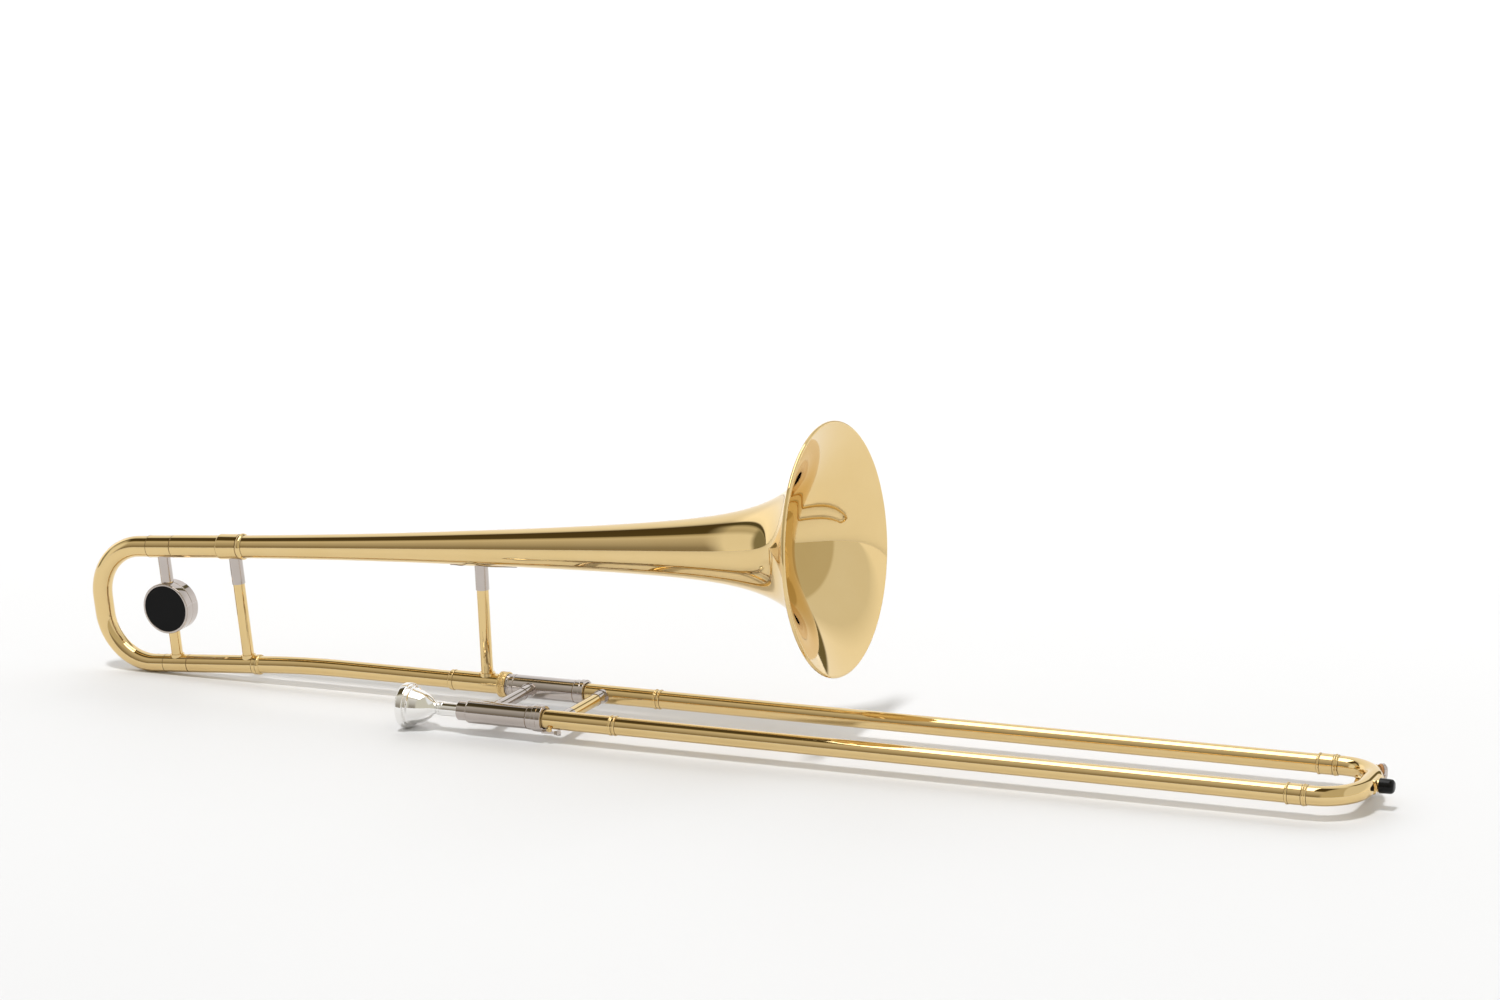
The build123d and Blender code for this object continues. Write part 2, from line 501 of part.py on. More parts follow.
# Bumper: a saddle plate on the middle of the bow, with a peg inside a rubber foot.
APEX = BOW_X + BOW_R
MID = -SLIDE_W / 2
with BuildPart() as bumper_base:
    with BuildSketch(Plane(origin=slide_point(APEX, MID), x_dir=(0, 1, 0), z_dir=(1, 0, 0))):
        RectangleRounded(15.0, 11.4, 2.2)
    extrude(amount=12.0)
    with BuildSketch(Plane(origin=slide_point(APEX, MID - 15), x_dir=(1, 0, 0), z_dir=(0, 1, 0))):
        Circle(BOW_TUBE_R + 1.1)
    extrude(amount=30, mode=Mode.INTERSECT)
    rod(Plane(origin=slide_point(APEX, MID), x_dir=(0, 1, 0), z_dir=(1, 0, 0)), 5.0, 9.6)
    rod(Plane(origin=slide_point(APEX, MID), x_dir=(0, 1, 0), z_dir=(1, 0, 0)), 2.6, 15.0)
    with BuildSketch(Plane(origin=slide_point(APEX, MID - 15), x_dir=(1, 0, 0), z_dir=(0, 1, 0))):
        Circle(BOW_TUBE_R)
    extrude(amount=30, mode=Mode.SUBTRACT)
bumper_base.part.label = "bumper_base"
export_step(bumper_base.part, "parts/bumper_base.step")

with BuildPart() as bumper_foot:
    x0, x1 = APEX + BOW_TUBE_R + 1.2, BUMPER_TIP
    with BuildSketch(Plane(origin=slide_point(0, MID), x_dir=(1, 0, 0), z_dir=(0, -1, 0))):
        with BuildLine():
            Line((x0, 5.0), (x0, 5.3))
            ThreePointArc((x0, 5.3), (x0 + 0.2, 5.65), (x0 + 0.6, 5.8))
            Line((x0 + 0.6, 5.8), (x1 - 3.2, 5.55))
            ThreePointArc((x1 - 3.2, 5.55), (x1 - 0.9, 4.7), (x1, 3.0))
            Line((x1, 3.0), (x1, 0))
            Line((x1, 0), (APEX + 15.0, 0))
            Line((APEX + 15.0, 0), (APEX + 15.0, 2.6))
            Line((APEX + 15.0, 2.6), (APEX + 9.6, 2.6))
            Line((APEX + 9.6, 2.6), (APEX + 9.6, 5.0))
            Line((APEX + 9.6, 5.0), (x0, 5.0))
        make_face()
    revolve(axis=Axis(slide_point(0, MID), (1, 0, 0)))
bumper_foot.part.label = "bumper_foot"
export_step(bumper_foot.part, "parts/bumper_foot.step")

# ================================================================ mouthpiece
with BuildPart() as mouthpiece:
    m = MP_RIM_X
    turned(slide_turning(-SLIDE_W),
           (m + 0.9, 12.8), ("arc", (m + 0.05, 14.9), (m + 0.9, 17.1)), ("arc", (m + 1.5, 18.0), (m + 2.6, MP_RIM_R)),
           (m + 6.6, MP_RIM_R), ("arc", (m + 7.4, 18.2), (m + 7.8, 17.4)), (m + 8.0, 16.4), (m + 8.8, 16.4),
           ("arc", (m + 9.6, 16.6), (m + 10.2, 15.9)), (m + 10.8, 15.0),
           ("spline", (m + 14.0, 13.9), (m + 18.0, 12.7), (m + 22.0, 10.8), (m + 26.0, 7.9), (m + 29.2, 5.3), (m + 31.4, 4.3)),
           ("arc", (m + 32.0, 4.4), (m + 32.4, 4.9)), ("arc", (m + 33.2, 5.3), (m + 34.0, 4.9)),
           ("arc", (m + 34.4, 4.7), (m + 34.8, 4.9)), ("arc", (m + 36.2, 5.9), (m + 37.6, 5.68)),
           (RECEIVER_X0, 5.66), (MP_TIP_X - 0.6, 5.26), (MP_TIP_X, 4.9), (MP_TIP_X, 4.3), (m + 60, 3.7),
           (m + 32.0, 3.2), ("arc", (m + 29.0, 3.4), (m + 26.0, 4.8)),
           ("spline", (m + 22.0, 7.7), (m + 17.0, 10.1), (m + 10.0, 11.8), (m + 3.0, 12.6), (m + 0.9, 12.8)))
mouthpiece.part.label = "mouthpiece"
export_step(mouthpiece.part, "parts/mouthpiece.step")

# ============================================================== bell section
bell_inner = offset_curve(BELL, BELL_WALL)

with BuildPart() as bell:
    turned(bell_turning(BELL_T), (UP_S1, BELL[0][1]), BELL[0], ("spline", *BELL[1:]), bell_inner[-1],
           ("spline", *bell_inner[-2::-1]), (UP_S1, BELL[0][1] - BELL_WALL))
bell.part.label = "bell"
export_step(bell.part, "parts/bell.step")

# Solid of the bell's outer shape, used only to trim what sits on it.
with BuildPart() as bell_core:
    turned(bell_turning(BELL_T), (UP_S1, 0), (UP_S1, BELL[0][1]), BELL[0], ("spline", *BELL[1:]), (BELL[-1][0], 0))

with BuildPart() as bell_rim:
    with BuildSketch(bell_turning(BELL_T)):
        with Locations((RIM_S, RIM_R)):
            Circle(RIM_WIRE)
    revolve(axis=Axis(bell_point(0, BELL_T), E1))
    add(bell.part, mode=Mode.SUBTRACT)
bell_rim.part.label = "bell_rim"
export_step(bell_rim.part, "parts/bell_rim.step")

with BuildPart() as bell_ferrule:
    turned(bell_turning(BELL_T), (-70.3, UP_R), (-70.3, 10.15), ("arc", (-69.9, 10.6), (-68.9, 10.8)), (-50.6, 10.8),
           (-50.2, 10.65), ("arc", (-48.3, 11.35), (-46.4, 10.45)), (-45.8, BELL[0][1] + 0.12), (-45.8, BELL[0][1] + 0.05),
           (UP_S1, BELL[0][1]), (UP_S1, UP_R))
    add(bell_core.part, mode=Mode.SUBTRACT)
bell_ferrule.part.label = "bell_ferrule"
export_step(bell_ferrule.part, "parts/bell_ferrule.step")

with BuildPart() as tuning_sleeve_upper:
    pipe(across_bell(SLEEVE_S0, BELL_T), UP_R, UP_RI, UP_S1 - SLEEVE_S0)
tuning_sleeve_upper.part.label = "tuning_sleeve_upper"
export_step(tuning_sleeve_upper.part, "parts/tuning_sleeve_upper.step")

with BuildPart() as tuning_sleeve_lower:
    pipe(across_bell(SLEEVE_S0, 0), LOW_R, LOW_RI, SLEEVE_S1 - SLEEVE_S0)
tuning_sleeve_lower.part.label = "tuning_sleeve_lower"
export_step(tuning_sleeve_lower.part, "parts/tuning_sleeve_lower.step")

with BuildPart() as gooseneck:
    with BuildLine():
        FilletPolyline(bell_point(SLEEVE_S1, 0), BEND, slide_point(-186.5), radius=NECK_BEND_R)
    with BuildSketch(across_bell(SLEEVE_S1, 0)):
        Circle(NECK_R)
        Circle(NECK_RI, mode=Mode.SUBTRACT)
    sweep()
gooseneck.part.label = "gooseneck"
export_step(gooseneck.part, "parts/gooseneck.step")

with BuildPart() as gooseneck_ferrule:
    turned(bell_turning(0), (-51.9, LOW_R), (-51.9, 8.05), ("arc", (-51.3, 8.55), (-50.3, 8.65)), (SLEEVE_S1, 8.65),
           ("arc", (-45.9, 8.5), (-44.9, NECK_R + 0.1)), (-44.9, NECK_R), (SLEEVE_S1, NECK_R), (SLEEVE_S1, LOW_R))
gooseneck_ferrule.part.label = "gooseneck_ferrule"
export_step(gooseneck_ferrule.part, "parts/gooseneck_ferrule.step")

with BuildPart() as bell_receiver:
    turned(slide_turning(0), (REC_X0, NECK_R), (REC_X0, REC_R), (-143.3, REC_R), (-143.3, 9.15), (REC_X1, 9.15),
           (REC_X1, 7.914), (-184.4, 7.541), (-184.4, NECK_R))
bell_receiver.part.label = "bell_receiver"
export_step(bell_receiver.part, "parts/bell_receiver.step")

with BuildPart() as receiver_collar:
    turned(slide_turning(0), (-191.4, NECK_R), (-191.4, 7.9), ("arc", (-191.0, 8.45), (-190.2, 8.6)),
           (-188.2, 8.75), ("arc", (-187.6, 8.7), (-187.3, REC_R + 0.1)), (-187.3, REC_R), (REC_X0, REC_R), (REC_X0, NECK_R))
receiver_collar.part.label = "receiver_collar"
export_step(receiver_collar.part, "parts/receiver_collar.step")

# Knurled nut that draws the bell section onto the slide's threaded tenon.
with BuildPart() as bell_lock_nut:
    turned(slide_turning(0), (NUT_X0, REC_R + 0.07), (NUT_X0, 9.6), ("arc", (NUT_X0 + 0.3, 10.5), (NUT_X0 + 1.2, 10.9)),
           (NUT_X0 + 1.6, 10.65), (NUT_X0 + 1.9, NUT_R - 0.2), (NUT_X1 - 1.9, NUT_R - 0.2), (NUT_X1 - 1.6, 10.65),
           (NUT_X1 - 1.2, 10.9), ("arc", (NUT_X1 - 0.3, 10.6), (NUT_X1, 9.95)), (NUT_X1, 9.55),
           (-143.6, 9.55), (-143.6, REC_R + 0.07))
    with BuildSketch(across_slide(NUT_X0 + 1.95, 0)):
        Circle(NUT_R)
        with PolarLocations(NUT_R + 0.1, 48):
            Circle(0.42, mode=Mode.SUBTRACT)
        Circle(NUT_R - 0.5, mode=Mode.SUBTRACT)
    extrude(amount=NUT_X1 - NUT_X0 - 3.9)
bell_lock_nut.part.label = "bell_lock_nut"
export_step(bell_lock_nut.part, "parts/bell_lock_nut.step")

# Braces of the bell section.  The front one stands square to the slide, the rear one square to the bell.
FRONT = slide_point(-157.4, 0)
FRONT_TOP = 101.8
with BuildPart() as bell_brace_front:
    with BuildSketch(Plane(origin=FRONT, x_dir=(1, 0, 0), z_dir=UP)):
        Circle(5.0)
        Circle(4.1, mode=Mode.SUBTRACT)
    extrude(amount=112.0)
    add(bell_core.part, mode=Mode.SUBTRACT)
    rod(across_slide(-177, 0), REC_R, 30, mode=Mode.SUBTRACT)
    # only the stretch between the two tubes stays
    with BuildSketch(Plane(origin=FRONT + UP * 4.0, x_dir=(1, 0, 0), z_dir=UP)):
        Circle(6)
    extrude(amount=103.0, mode=Mode.INTERSECT)
bell_brace_front.part.label = "bell_brace_front"
export_step(bell_brace_front.part, "parts/bell_brace_front.step")

REAR = bell_point(-57.4, 0)
with BuildPart() as bell_brace_rear:
    with BuildSketch(Plane(origin=REAR, x_dir=E1, z_dir=E2)):
        Circle(5.0)
        Circle(4.1, mode=Mode.SUBTRACT)
    extrude(amount=100.0)
    rod(across_bell(-70, 0), LOW_R, 30, mode=Mode.SUBTRACT)
    rod(across_bell(-75, BELL_T), 10.8, 40, mode=Mode.SUBTRACT)
    add(gooseneck_ferrule.part, mode=Mode.SUBTRACT)
    add(bell_ferrule.part, mode=Mode.SUBTRACT)
bell_brace_rear.part.label = "bell_brace_rear"
export_step(bell_brace_rear.part, "parts/bell_brace_rear.step")

# Ogee-shaped plate that spreads the front brace's load over the thin bell.
PATCH = [(151.1, 0.5), (159.9, 2.4), (167.2, 7.1), (174.6, 11.1), (181.9, 9.3), (189.8, 4.8), (199.1, 1.9), (212.8, 0.5)]
PATCH_T = 0.7
with BuildPart() as bell_patch:
    turned(bell_turning(BELL_T), (114.9, 12.5 + PATCH_T), ("spline", (168.7, 14.15 + PATCH_T), (223.6, 16.0 + PATCH_T)),
           (223.6, 5.0), (114.9, 5.0))
    with BuildSketch(Plane(origin=bell_point(0, BELL_T), x_dir=E1, z_dir=-E2)):
        with BuildLine():
            p_up = Spline(*PATCH)
            p_end = Line(p_up @ 1, (PATCH[-1][0], -PATCH[-1][1]))
            p_dn = Spline(*[(a, -b) for a, b in PATCH[::-1]])
            Line(p_dn @ 1, p_up @ 0)
        make_face()
    extrude(amount=30.0, mode=Mode.INTERSECT)
    add(bell_core.part, mode=Mode.SUBTRACT)
    add(bell_brace_front.part, mode=Mode.SUBTRACT)
    rod(Plane(origin=FRONT + UP * 90, x_dir=(1, 0, 0), z_dir=UP), 5.0, 20, mode=Mode.SUBTRACT)
bell_patch.part.label = "bell_patch"
export_step(bell_patch.part, "parts/bell_patch.step")

with BuildPart() as bell_brace_sleeves:
    with BuildSketch(Plane(origin=FRONT + UP * (FRONT_TOP - 21.0), x_dir=(1, 0, 0), z_dir=UP)):
        Circle(5.65)
        Circle(5.0, mode=Mode.SUBTRACT)
    extrude(amount=25.5)
    with BuildSketch(Plane(origin=REAR + E2 * (BELL_T - 10.8 - 21.5), x_dir=E1, z_dir=E2)):
        Circle(5.65)
        Circle(5.0, mode=Mode.SUBTRACT)
    extrude(amount=24.0)
    add(bell_core.part, mode=Mode.SUBTRACT)
    rod(across_bell(-75, BELL_T), 10.8, 40, mode=Mode.SUBTRACT)
    add(bell_ferrule.part, mode=Mode.SUBTRACT)
    add(bell_patch.part, mode=Mode.SUBTRACT)
bell_brace_sleeves.part.label = "bell_brace_sleeves"
export_step(bell_brace_sleeves.part, "parts/bell_brace_sleeves.step")

with BuildPart() as bell_brace_feet:
    with BuildSketch(Plane(origin=FRONT + UP * 4.0, x_dir=(1, 0, 0), z_dir=UP)):
        Ellipse(7.0, 5.9)
        Circle(5.0, mode=Mode.SUBTRACT)
    extrude(amount=5.2)
    with BuildSketch(Plane(origin=REAR + E2 * 4.0, x_dir=E1, z_dir=E2)):
        Ellipse(6.6, 5.8)
        Circle(5.0, mode=Mode.SUBTRACT)
    extrude(amount=4.8)
    rod(across_slide(-177, 0), REC_R, 30, mode=Mode.SUBTRACT)
    rod(across_bell(-70, 0), LOW_R, 40, mode=Mode.SUBTRACT)
    add(gooseneck_ferrule.part, mode=Mode.SUBTRACT)
bell_brace_feet.part.label = "bell_brace_feet"
export_step(bell_brace_feet.part, "parts/bell_brace_feet.step")

# ============================================================== tuning slide
# Its centre line is two bends with a short straight between them, and its bore widens on the way up.
with BuildPart() as crook_bore:
    with BuildLine() as bore_path:
        FilletPolyline(bell_point(CROOK_S, 0), bell_point(CROOK_BACK_S, 0), bell_point(CROOK_BACK_S, BELL_T),
                       bell_point(CROOK_S, BELL_T), radius=CROOK_BEND_R)
    with BuildSketch(Plane(origin=bell_point(CROOK_S, 0), x_dir=EN, z_dir=-E1)):
        Circle(CROOK_R0 - 0.5)
    with BuildSketch(Plane(origin=bell_point(CROOK_S, BELL_T), x_dir=EN, z_dir=E1)):
        Circle(CROOK_R1 - 0.5)
    sweep(multisection=True)
with BuildPart() as tuning_crook:
    with BuildLine() as crook_path:
        FilletPolyline(bell_point(CROOK_S, 0), bell_point(CROOK_BACK_S, 0), bell_point(CROOK_BACK_S, BELL_T),
                       bell_point(CROOK_S, BELL_T), radius=CROOK_BEND_R)
    with BuildSketch(Plane(origin=bell_point(CROOK_S, 0), x_dir=EN, z_dir=-E1)):
        Circle(CROOK_R0)
    with BuildSketch(Plane(origin=bell_point(CROOK_S, BELL_T), x_dir=EN, z_dir=E1)):
        Circle(CROOK_R1)
    sweep(multisection=True)
    add(crook_bore.part, mode=Mode.SUBTRACT)
tuning_crook.part.label = "tuning_crook"
export_step(tuning_crook.part, "parts/tuning_crook.step")

with BuildPart() as tuning_slide_ferrules:
    for t, r_leg, r in ((0.0, LEG_LOW_R, COLLAR_LOW_R), (BELL_T, LEG_UP_R, COLLAR_UP_R)):
        turned(bell_turning(t), (CROOK_S, r_leg), (CROOK_S, r - 0.2), ("arc", (CROOK_S + 0.15, r - 0.06), (CROOK_S + 0.4, r)),
               (COLLAR_S1 - 0.4, r), ("arc", (COLLAR_S1 - 0.15, r - 0.06), (COLLAR_S1, r - 0.2)), (COLLAR_S1, r_leg))
tuning_slide_ferrules.part.label = "tuning_slide_ferrules"
export_step(tuning_slide_ferrules.part, "parts/tuning_slide_ferrules.step")

with BuildPart() as tuning_leg_lower:
    pipe(across_bell(CROOK_S, 0), LEG_LOW_R, LEG_LOW_R - 0.45, -53.0 - CROOK_S)
tuning_leg_lower.part.label = "tuning_leg_lower"
export_step(tuning_leg_lower.part, "parts/tuning_leg_lower.step")

with BuildPart() as tuning_leg_upper:
    pipe(across_bell(CROOK_S, BELL_T), LEG_UP_R, LEG_UP_R - 0.45, -61.5 - CROOK_S)
tuning_leg_upper.part.label = "tuning_leg_upper"
export_step(tuning_leg_upper.part, "parts/tuning_leg_upper.step")


def across_brace(t):
    """Plane square to the tuning slide's brace at height t."""
    return Plane(origin=bell_point(TS_BRACE_S, t), x_dir=E1, z_dir=E2)


with BuildPart() as tuning_brace:
    pipe(across_brace(2.0), TS_BRACE_R, TS_BRACE_R - 1.0, BELL_T - 4.0)
    with BuildSketch(across_brace(4.0)):
        Ellipse(6.3, 5.6)
        Circle(TS_BRACE_R - 1.0, mode=Mode.SUBTRACT)
    extrude(amount=4.6)
    rod(across_bell(-150, 0), COLLAR_LOW_R, 40, mode=Mode.SUBTRACT)
    rod(across_bell(-150, BELL_T), COLLAR_UP_R, 40, mode=Mode.SUBTRACT)
tuning_brace.part.label = "tuning_brace"
export_step(tuning_brace.part, "parts/tuning_brace.step")

with BuildPart() as tuning_brace_sleeve:
    pipe(across_brace(CW_T + CW_R + 0.1), TS_SLEEVE_R, TS_BRACE_R, BELL_T - CW_T - CW_R - 5.0)
    rod(across_bell(-150, BELL_T), COLLAR_UP_R, 40, mode=Mode.SUBTRACT)
tuning_brace_sleeve.part.label = "tuning_brace_sleeve"
export_step(tuning_brace_sleeve.part, "parts/tuning_brace_sleeve.step")

# Counterweight: two half discs clamped on the brace by a pair of screws, with a plain plate in the front.
CW = Plane(origin=bell_point(TS_BRACE_S, CW_T), x_dir=E1, z_dir=EN)
CW_TURN = Plane(origin=bell_point(TS_BRACE_S, CW_T), x_dir=EN, z_dir=-E1)
CW_HALF = CW_THICK / 2
SCREWS_AT = [(-12.5, 0), (12.5, 0)]


def screw_profile(grow, long):
    """Countersunk screw turned about its own axis, head at the back, tip towards the front."""
    for a, b in SCREWS_AT:
        origin = bell_point(TS_BRACE_S + a, CW_T + b)
        turned(Plane(origin=origin, x_dir=EN, z_dir=-E1), (-CW_HALF + 0.25 - grow, 0), (-CW_HALF + 0.25 - grow, 2.9 + grow),
               (-CW_HALF + 1.75, 1.5 + grow), (long, 1.5 + grow), (long, 0))


with BuildPart() as counterweight_screws:
    screw_profile(0.0, 5.0)
    with BuildSketch(Plane(origin=bell_point(TS_BRACE_S, CW_T, -CW_HALF + 0.25), x_dir=E1, z_dir=EN)):
        with Locations(*SCREWS_AT):
            Rectangle(7.0, 0.8, rotation=35)
    extrude(amount=0.8, mode=Mode.SUBTRACT)
counterweight_screws.part.label = "counterweight_screws"
export_step(counterweight_screws.part, "parts/counterweight_screws.step")

with BuildPart() as screw_room:
    screw_profile(0.0, 5.6)
    with BuildSketch(Plane(origin=bell_point(TS_BRACE_S, CW_T, -CW_HALF - 1.0), x_dir=E1, z_dir=EN)):
        with Locations(*SCREWS_AT):
            Circle(2.9)
    extrude(amount=1.25)

with BuildPart() as counterweight_front:
    turned(CW_TURN, (0.0, 0), (0.0, CW_R - 0.55), ("arc", (0.18, CW_R - 0.2), (0.6, CW_R)), (CW_HALF - 1.0, CW_R),
           ("arc", (CW_HALF - 0.3, CW_R - 0.35), (CW_HALF, CW_R - 1.1)), (CW_HALF, CW_R - 1.7),
           (CW_HALF - 0.2, CW_R - 1.95), (CW_HALF - 1.3, CW_R - 2.0), (CW_HALF - 1.3, 0))
    rod(across_brace(0), TS_BRACE_R, 110, mode=Mode.SUBTRACT)
    add(screw_room.part, mode=Mode.SUBTRACT)
counterweight_front.part.label = "counterweight_front"
export_step(counterweight_front.part, "parts/counterweight_front.step")

with BuildPart() as counterweight_back:
    turned(CW_TURN, (0.0, 0), (0.0, CW_R - 0.55), ("arc", (-0.18, CW_R - 0.2), (-0.6, CW_R)), (-CW_HALF + 1.0, CW_R),
           ("arc", (-CW_HALF + 0.3, CW_R - 0.35), (-CW_HALF, CW_R - 1.1)), (-CW_HALF, 0))
    rod(across_brace(0), TS_BRACE_R, 110, mode=Mode.SUBTRACT)
    add(screw_room.part, mode=Mode.SUBTRACT)
counterweight_back.part.label = "counterweight_back"
export_step(counterweight_back.part, "parts/counterweight_back.step")

with BuildPart() as counterweight_badge:
    with BuildSketch(Plane(origin=bell_point(TS_BRACE_S, CW_T, CW_HALF - 1.3), x_dir=E1, z_dir=EN)):
        Circle(CW_R - 2.05)
    extrude(amount=0.9)
counterweight_badge.part.label = "counterweight_badge"
export_step(counterweight_badge.part, "parts/counterweight_badge.step")
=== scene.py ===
import bpy
import bmesh
import numpy as np
import math
import json
from mathutils import Matrix, Vector


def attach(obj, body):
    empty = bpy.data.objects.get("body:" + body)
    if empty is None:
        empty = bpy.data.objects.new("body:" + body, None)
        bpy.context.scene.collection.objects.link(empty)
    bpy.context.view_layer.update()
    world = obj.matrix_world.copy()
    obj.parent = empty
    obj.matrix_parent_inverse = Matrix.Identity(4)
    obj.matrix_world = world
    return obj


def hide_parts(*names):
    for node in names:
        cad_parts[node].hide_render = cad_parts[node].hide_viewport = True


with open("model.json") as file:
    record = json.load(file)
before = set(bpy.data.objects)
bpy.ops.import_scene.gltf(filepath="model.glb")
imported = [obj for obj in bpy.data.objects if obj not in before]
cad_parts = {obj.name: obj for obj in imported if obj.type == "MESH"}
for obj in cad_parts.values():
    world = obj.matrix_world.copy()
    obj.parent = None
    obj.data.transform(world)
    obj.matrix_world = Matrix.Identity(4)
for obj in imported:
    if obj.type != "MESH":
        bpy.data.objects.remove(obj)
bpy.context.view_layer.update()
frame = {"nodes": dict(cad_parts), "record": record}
N = frame["nodes"]

# ------------------------------------------------------------------ camera
# A pinhole that was solved from the instrument's own straight lines.
CAM = Vector((1.358479, -2.864694, 0.901895))
AZ, EL, ROLL = math.radians(-24.628), math.radians(12.689), math.radians(-1.526)
FOCAL_PX = 4057.233
fwd = Vector((math.sin(AZ) * math.cos(EL), math.cos(AZ) * math.cos(EL), -math.sin(EL)))
right0 = Vector((math.cos(AZ), -math.sin(AZ), 0.0))
up0 = right0.cross(fwd)
right = right0 * math.cos(ROLL) + up0 * math.sin(ROLL)
up = up0 * math.cos(ROLL) - right0 * math.sin(ROLL)
cam_data = bpy.data.cameras.new("camera")
cam = bpy.data.objects.new("camera", cam_data)
bpy.context.collection.objects.link(cam)
cam_data.sensor_fit = "HORIZONTAL"
cam_data.sensor_width = 36.0
cam_data.lens = FOCAL_PX / 1500.0 * 36.0
cam_data.clip_end = 200.0
cam.matrix_world = Matrix((
    (right.x, up.x, -fwd.x, CAM.x),
    (right.y, up.y, -fwd.y, CAM.y),
    (right.z, up.z, -fwd.z, CAM.z),
    (0, 0, 0, 1)))
bpy.context.scene.camera = cam
bpy.context.scene.view_settings.view_transform = "Standard"

# --------------------------------------------------------------- materials


class Nodes:
    """A short way to write a material's node tree."""

    def __init__(self, name):
        self.mat = bpy.data.materials.new(name)
        self.mat.use_nodes = True
        self.t = self.mat.node_tree
        self.t.nodes.clear()
        self.out = self.t.nodes.new("ShaderNodeOutputMaterial")
        self.bsdf = self.t.nodes.new("ShaderNodeBsdfPrincipled")
        self.t.links.new(self.bsdf.outputs[0], self.out.inputs[0])
        self.obj = self.t.nodes.new("ShaderNodeTexCoord").outputs["Object"]

    def link(self, a, b):
        self.t.links.new(a, b)

    def set(self, **kw):
        for k, v in kw.items():
            self.bsdf.inputs[k.replace("_", " ")].default_value = v

    def mapping(self, scale=(1, 1, 1), src=None):
        m = self.t.nodes.new("ShaderNodeMapping")
        m.inputs["Scale"].default_value = scale
        self.link(src or self.obj, m.inputs["Vector"])
        return m.outputs[0]

    def noise(self, scale, detail=3.0, rough=0.5, vec=None, distortion=0.0):
        n = self.t.nodes.new("ShaderNodeTexNoise")
        n.inputs["Scale"].default_value = scale
        n.inputs["Detail"].default_value = detail
        n.inputs["Roughness"].default_value = rough
        n.inputs["Distortion"].default_value = distortion
        self.link(vec or self.obj, n.inputs["Vector"])
        return n.outputs["Fac"]

    def voronoi(self, scale, vec=None, feature="F1", randomness=1.0):
        n = self.t.nodes.new("ShaderNodeTexVoronoi")
        n.feature = feature
        n.inputs["Scale"].default_value = scale
        n.inputs["Randomness"].default_value = randomness
        self.link(vec or self.obj, n.inputs["Vector"])
        return n.outputs["Distance"]

    def ramp(self, src, stops):
        r = self.t.nodes.new("ShaderNodeValToRGB")
        el = r.color_ramp.elements
        while len(el) < len(stops):
            el.new(0.5)
        for e, (p, c) in zip(el, stops):
            e.position = p
            e.color = c if len(c) == 4 else (*c, 1.0)
        self.link(src, r.inputs[0])
        return r.outputs[0]

    def range(self, src, lo, hi, a=0.0, b=1.0):
        r = self.t.nodes.new("ShaderNodeMapRange")
        r.inputs["From Min"].default_value = a
        r.inputs["From Max"].default_value = b
        r.inputs["To Min"].default_value = lo
        r.inputs["To Max"].default_value = hi
        self.link(src, r.inputs["Value"])
        return r.outputs[0]

    def mix(self, fac, a, b, blend="MIX"):
        m = self.t.nodes.new("ShaderNodeMix")
        m.data_type = "RGBA"
        m.blend_type = blend
        self.link(fac, m.inputs[0]) if not isinstance(fac, float) else setattr(m.inputs[0], "default_value", fac)
        for s, v in ((m.inputs[6], a), (m.inputs[7], b)):
            if isinstance(v, tuple):
                s.default_value = v if len(v) == 4 else (*v, 1.0)
            else:
                self.link(v, s)
        return m.outputs[2]

    def math(self, op, a, b):
        m = self.t.nodes.new("ShaderNodeMath")
        m.operation = op
        for s, v in ((m.inputs[0], a), (m.inputs[1], b)):
            if isinstance(v, (int, float)):
                s.default_value = v
            else:
                self.link(v, s)
        return m.outputs[0]

    def bump(self, height, strength, distance):
        b = self.t.nodes.new("ShaderNodeBump")
        b.inputs["Strength"].default_value = strength
        b.inputs["Distance"].default_value = distance
        self.link(height, b.inputs["Height"])
        self.link(b.outputs[0], self.bsdf.inputs["Normal"])


def polished(name, base, tint, rough_lo, rough_hi, wave=0.00002, grain=0.05):
    """Polished metal: slight colour drift, handling haze in the gloss, and the faint waviness of buffing."""
    m = Nodes(name)
    drift = m.noise(22.0, 4.0, 0.55)
    m.link(m.ramp(drift, [(0.30, base), (0.70, tint)]), m.bsdf.inputs["Base Color"])
    haze = m.noise(60.0, 5.0, 0.6, distortion=0.4)
    fine = m.noise(900.0, 2.0, 0.5)
    rough = m.math("ADD", m.range(haze, rough_lo, rough_hi, 0.3, 0.75), m.range(fine, 0.0, grain * 0.4, 0.35, 0.8))
    m.link(rough, m.bsdf.inputs["Roughness"])
    m.set(Metallic=1.0)
    m.bump(m.noise(75.0, 2.0, 0.4), 0.35, wave)
    return m.mat


BRASS = polished("lacquered_brass", (0.785, 0.58, 0.275), (0.805, 0.605, 0.30), 0.025, 0.05)
NICKEL = polished("nickel_silver", (0.52, 0.465, 0.43), (0.58, 0.525, 0.49), 0.035, 0.07)
SILVER = polished("silver_plate", (0.90, 0.89, 0.875), (0.95, 0.94, 0.92), 0.05, 0.09)
# Joint lines: a dark brass colour for solder and old lacquer that also paints in the shade of the gaps between parts.
SOLDER_AND_GAP_SHADE = polished("joint_solder_and_painted_shade", (0.16, 0.095, 0.035), (0.22, 0.14, 0.06), 0.30, 0.45)
CHROME = polished("chromed_tube", (0.70, 0.70, 0.70), (0.76, 0.76, 0.76), 0.03, 0.06)
STEEL = polished("plated_steel", (0.56, 0.55, 0.53), (0.66, 0.65, 0.63), 0.12, 0.22)
BRASS_NUT = polished("knurled_brass", (0.78, 0.57, 0.26), (0.82, 0.61, 0.30), 0.08, 0.14)


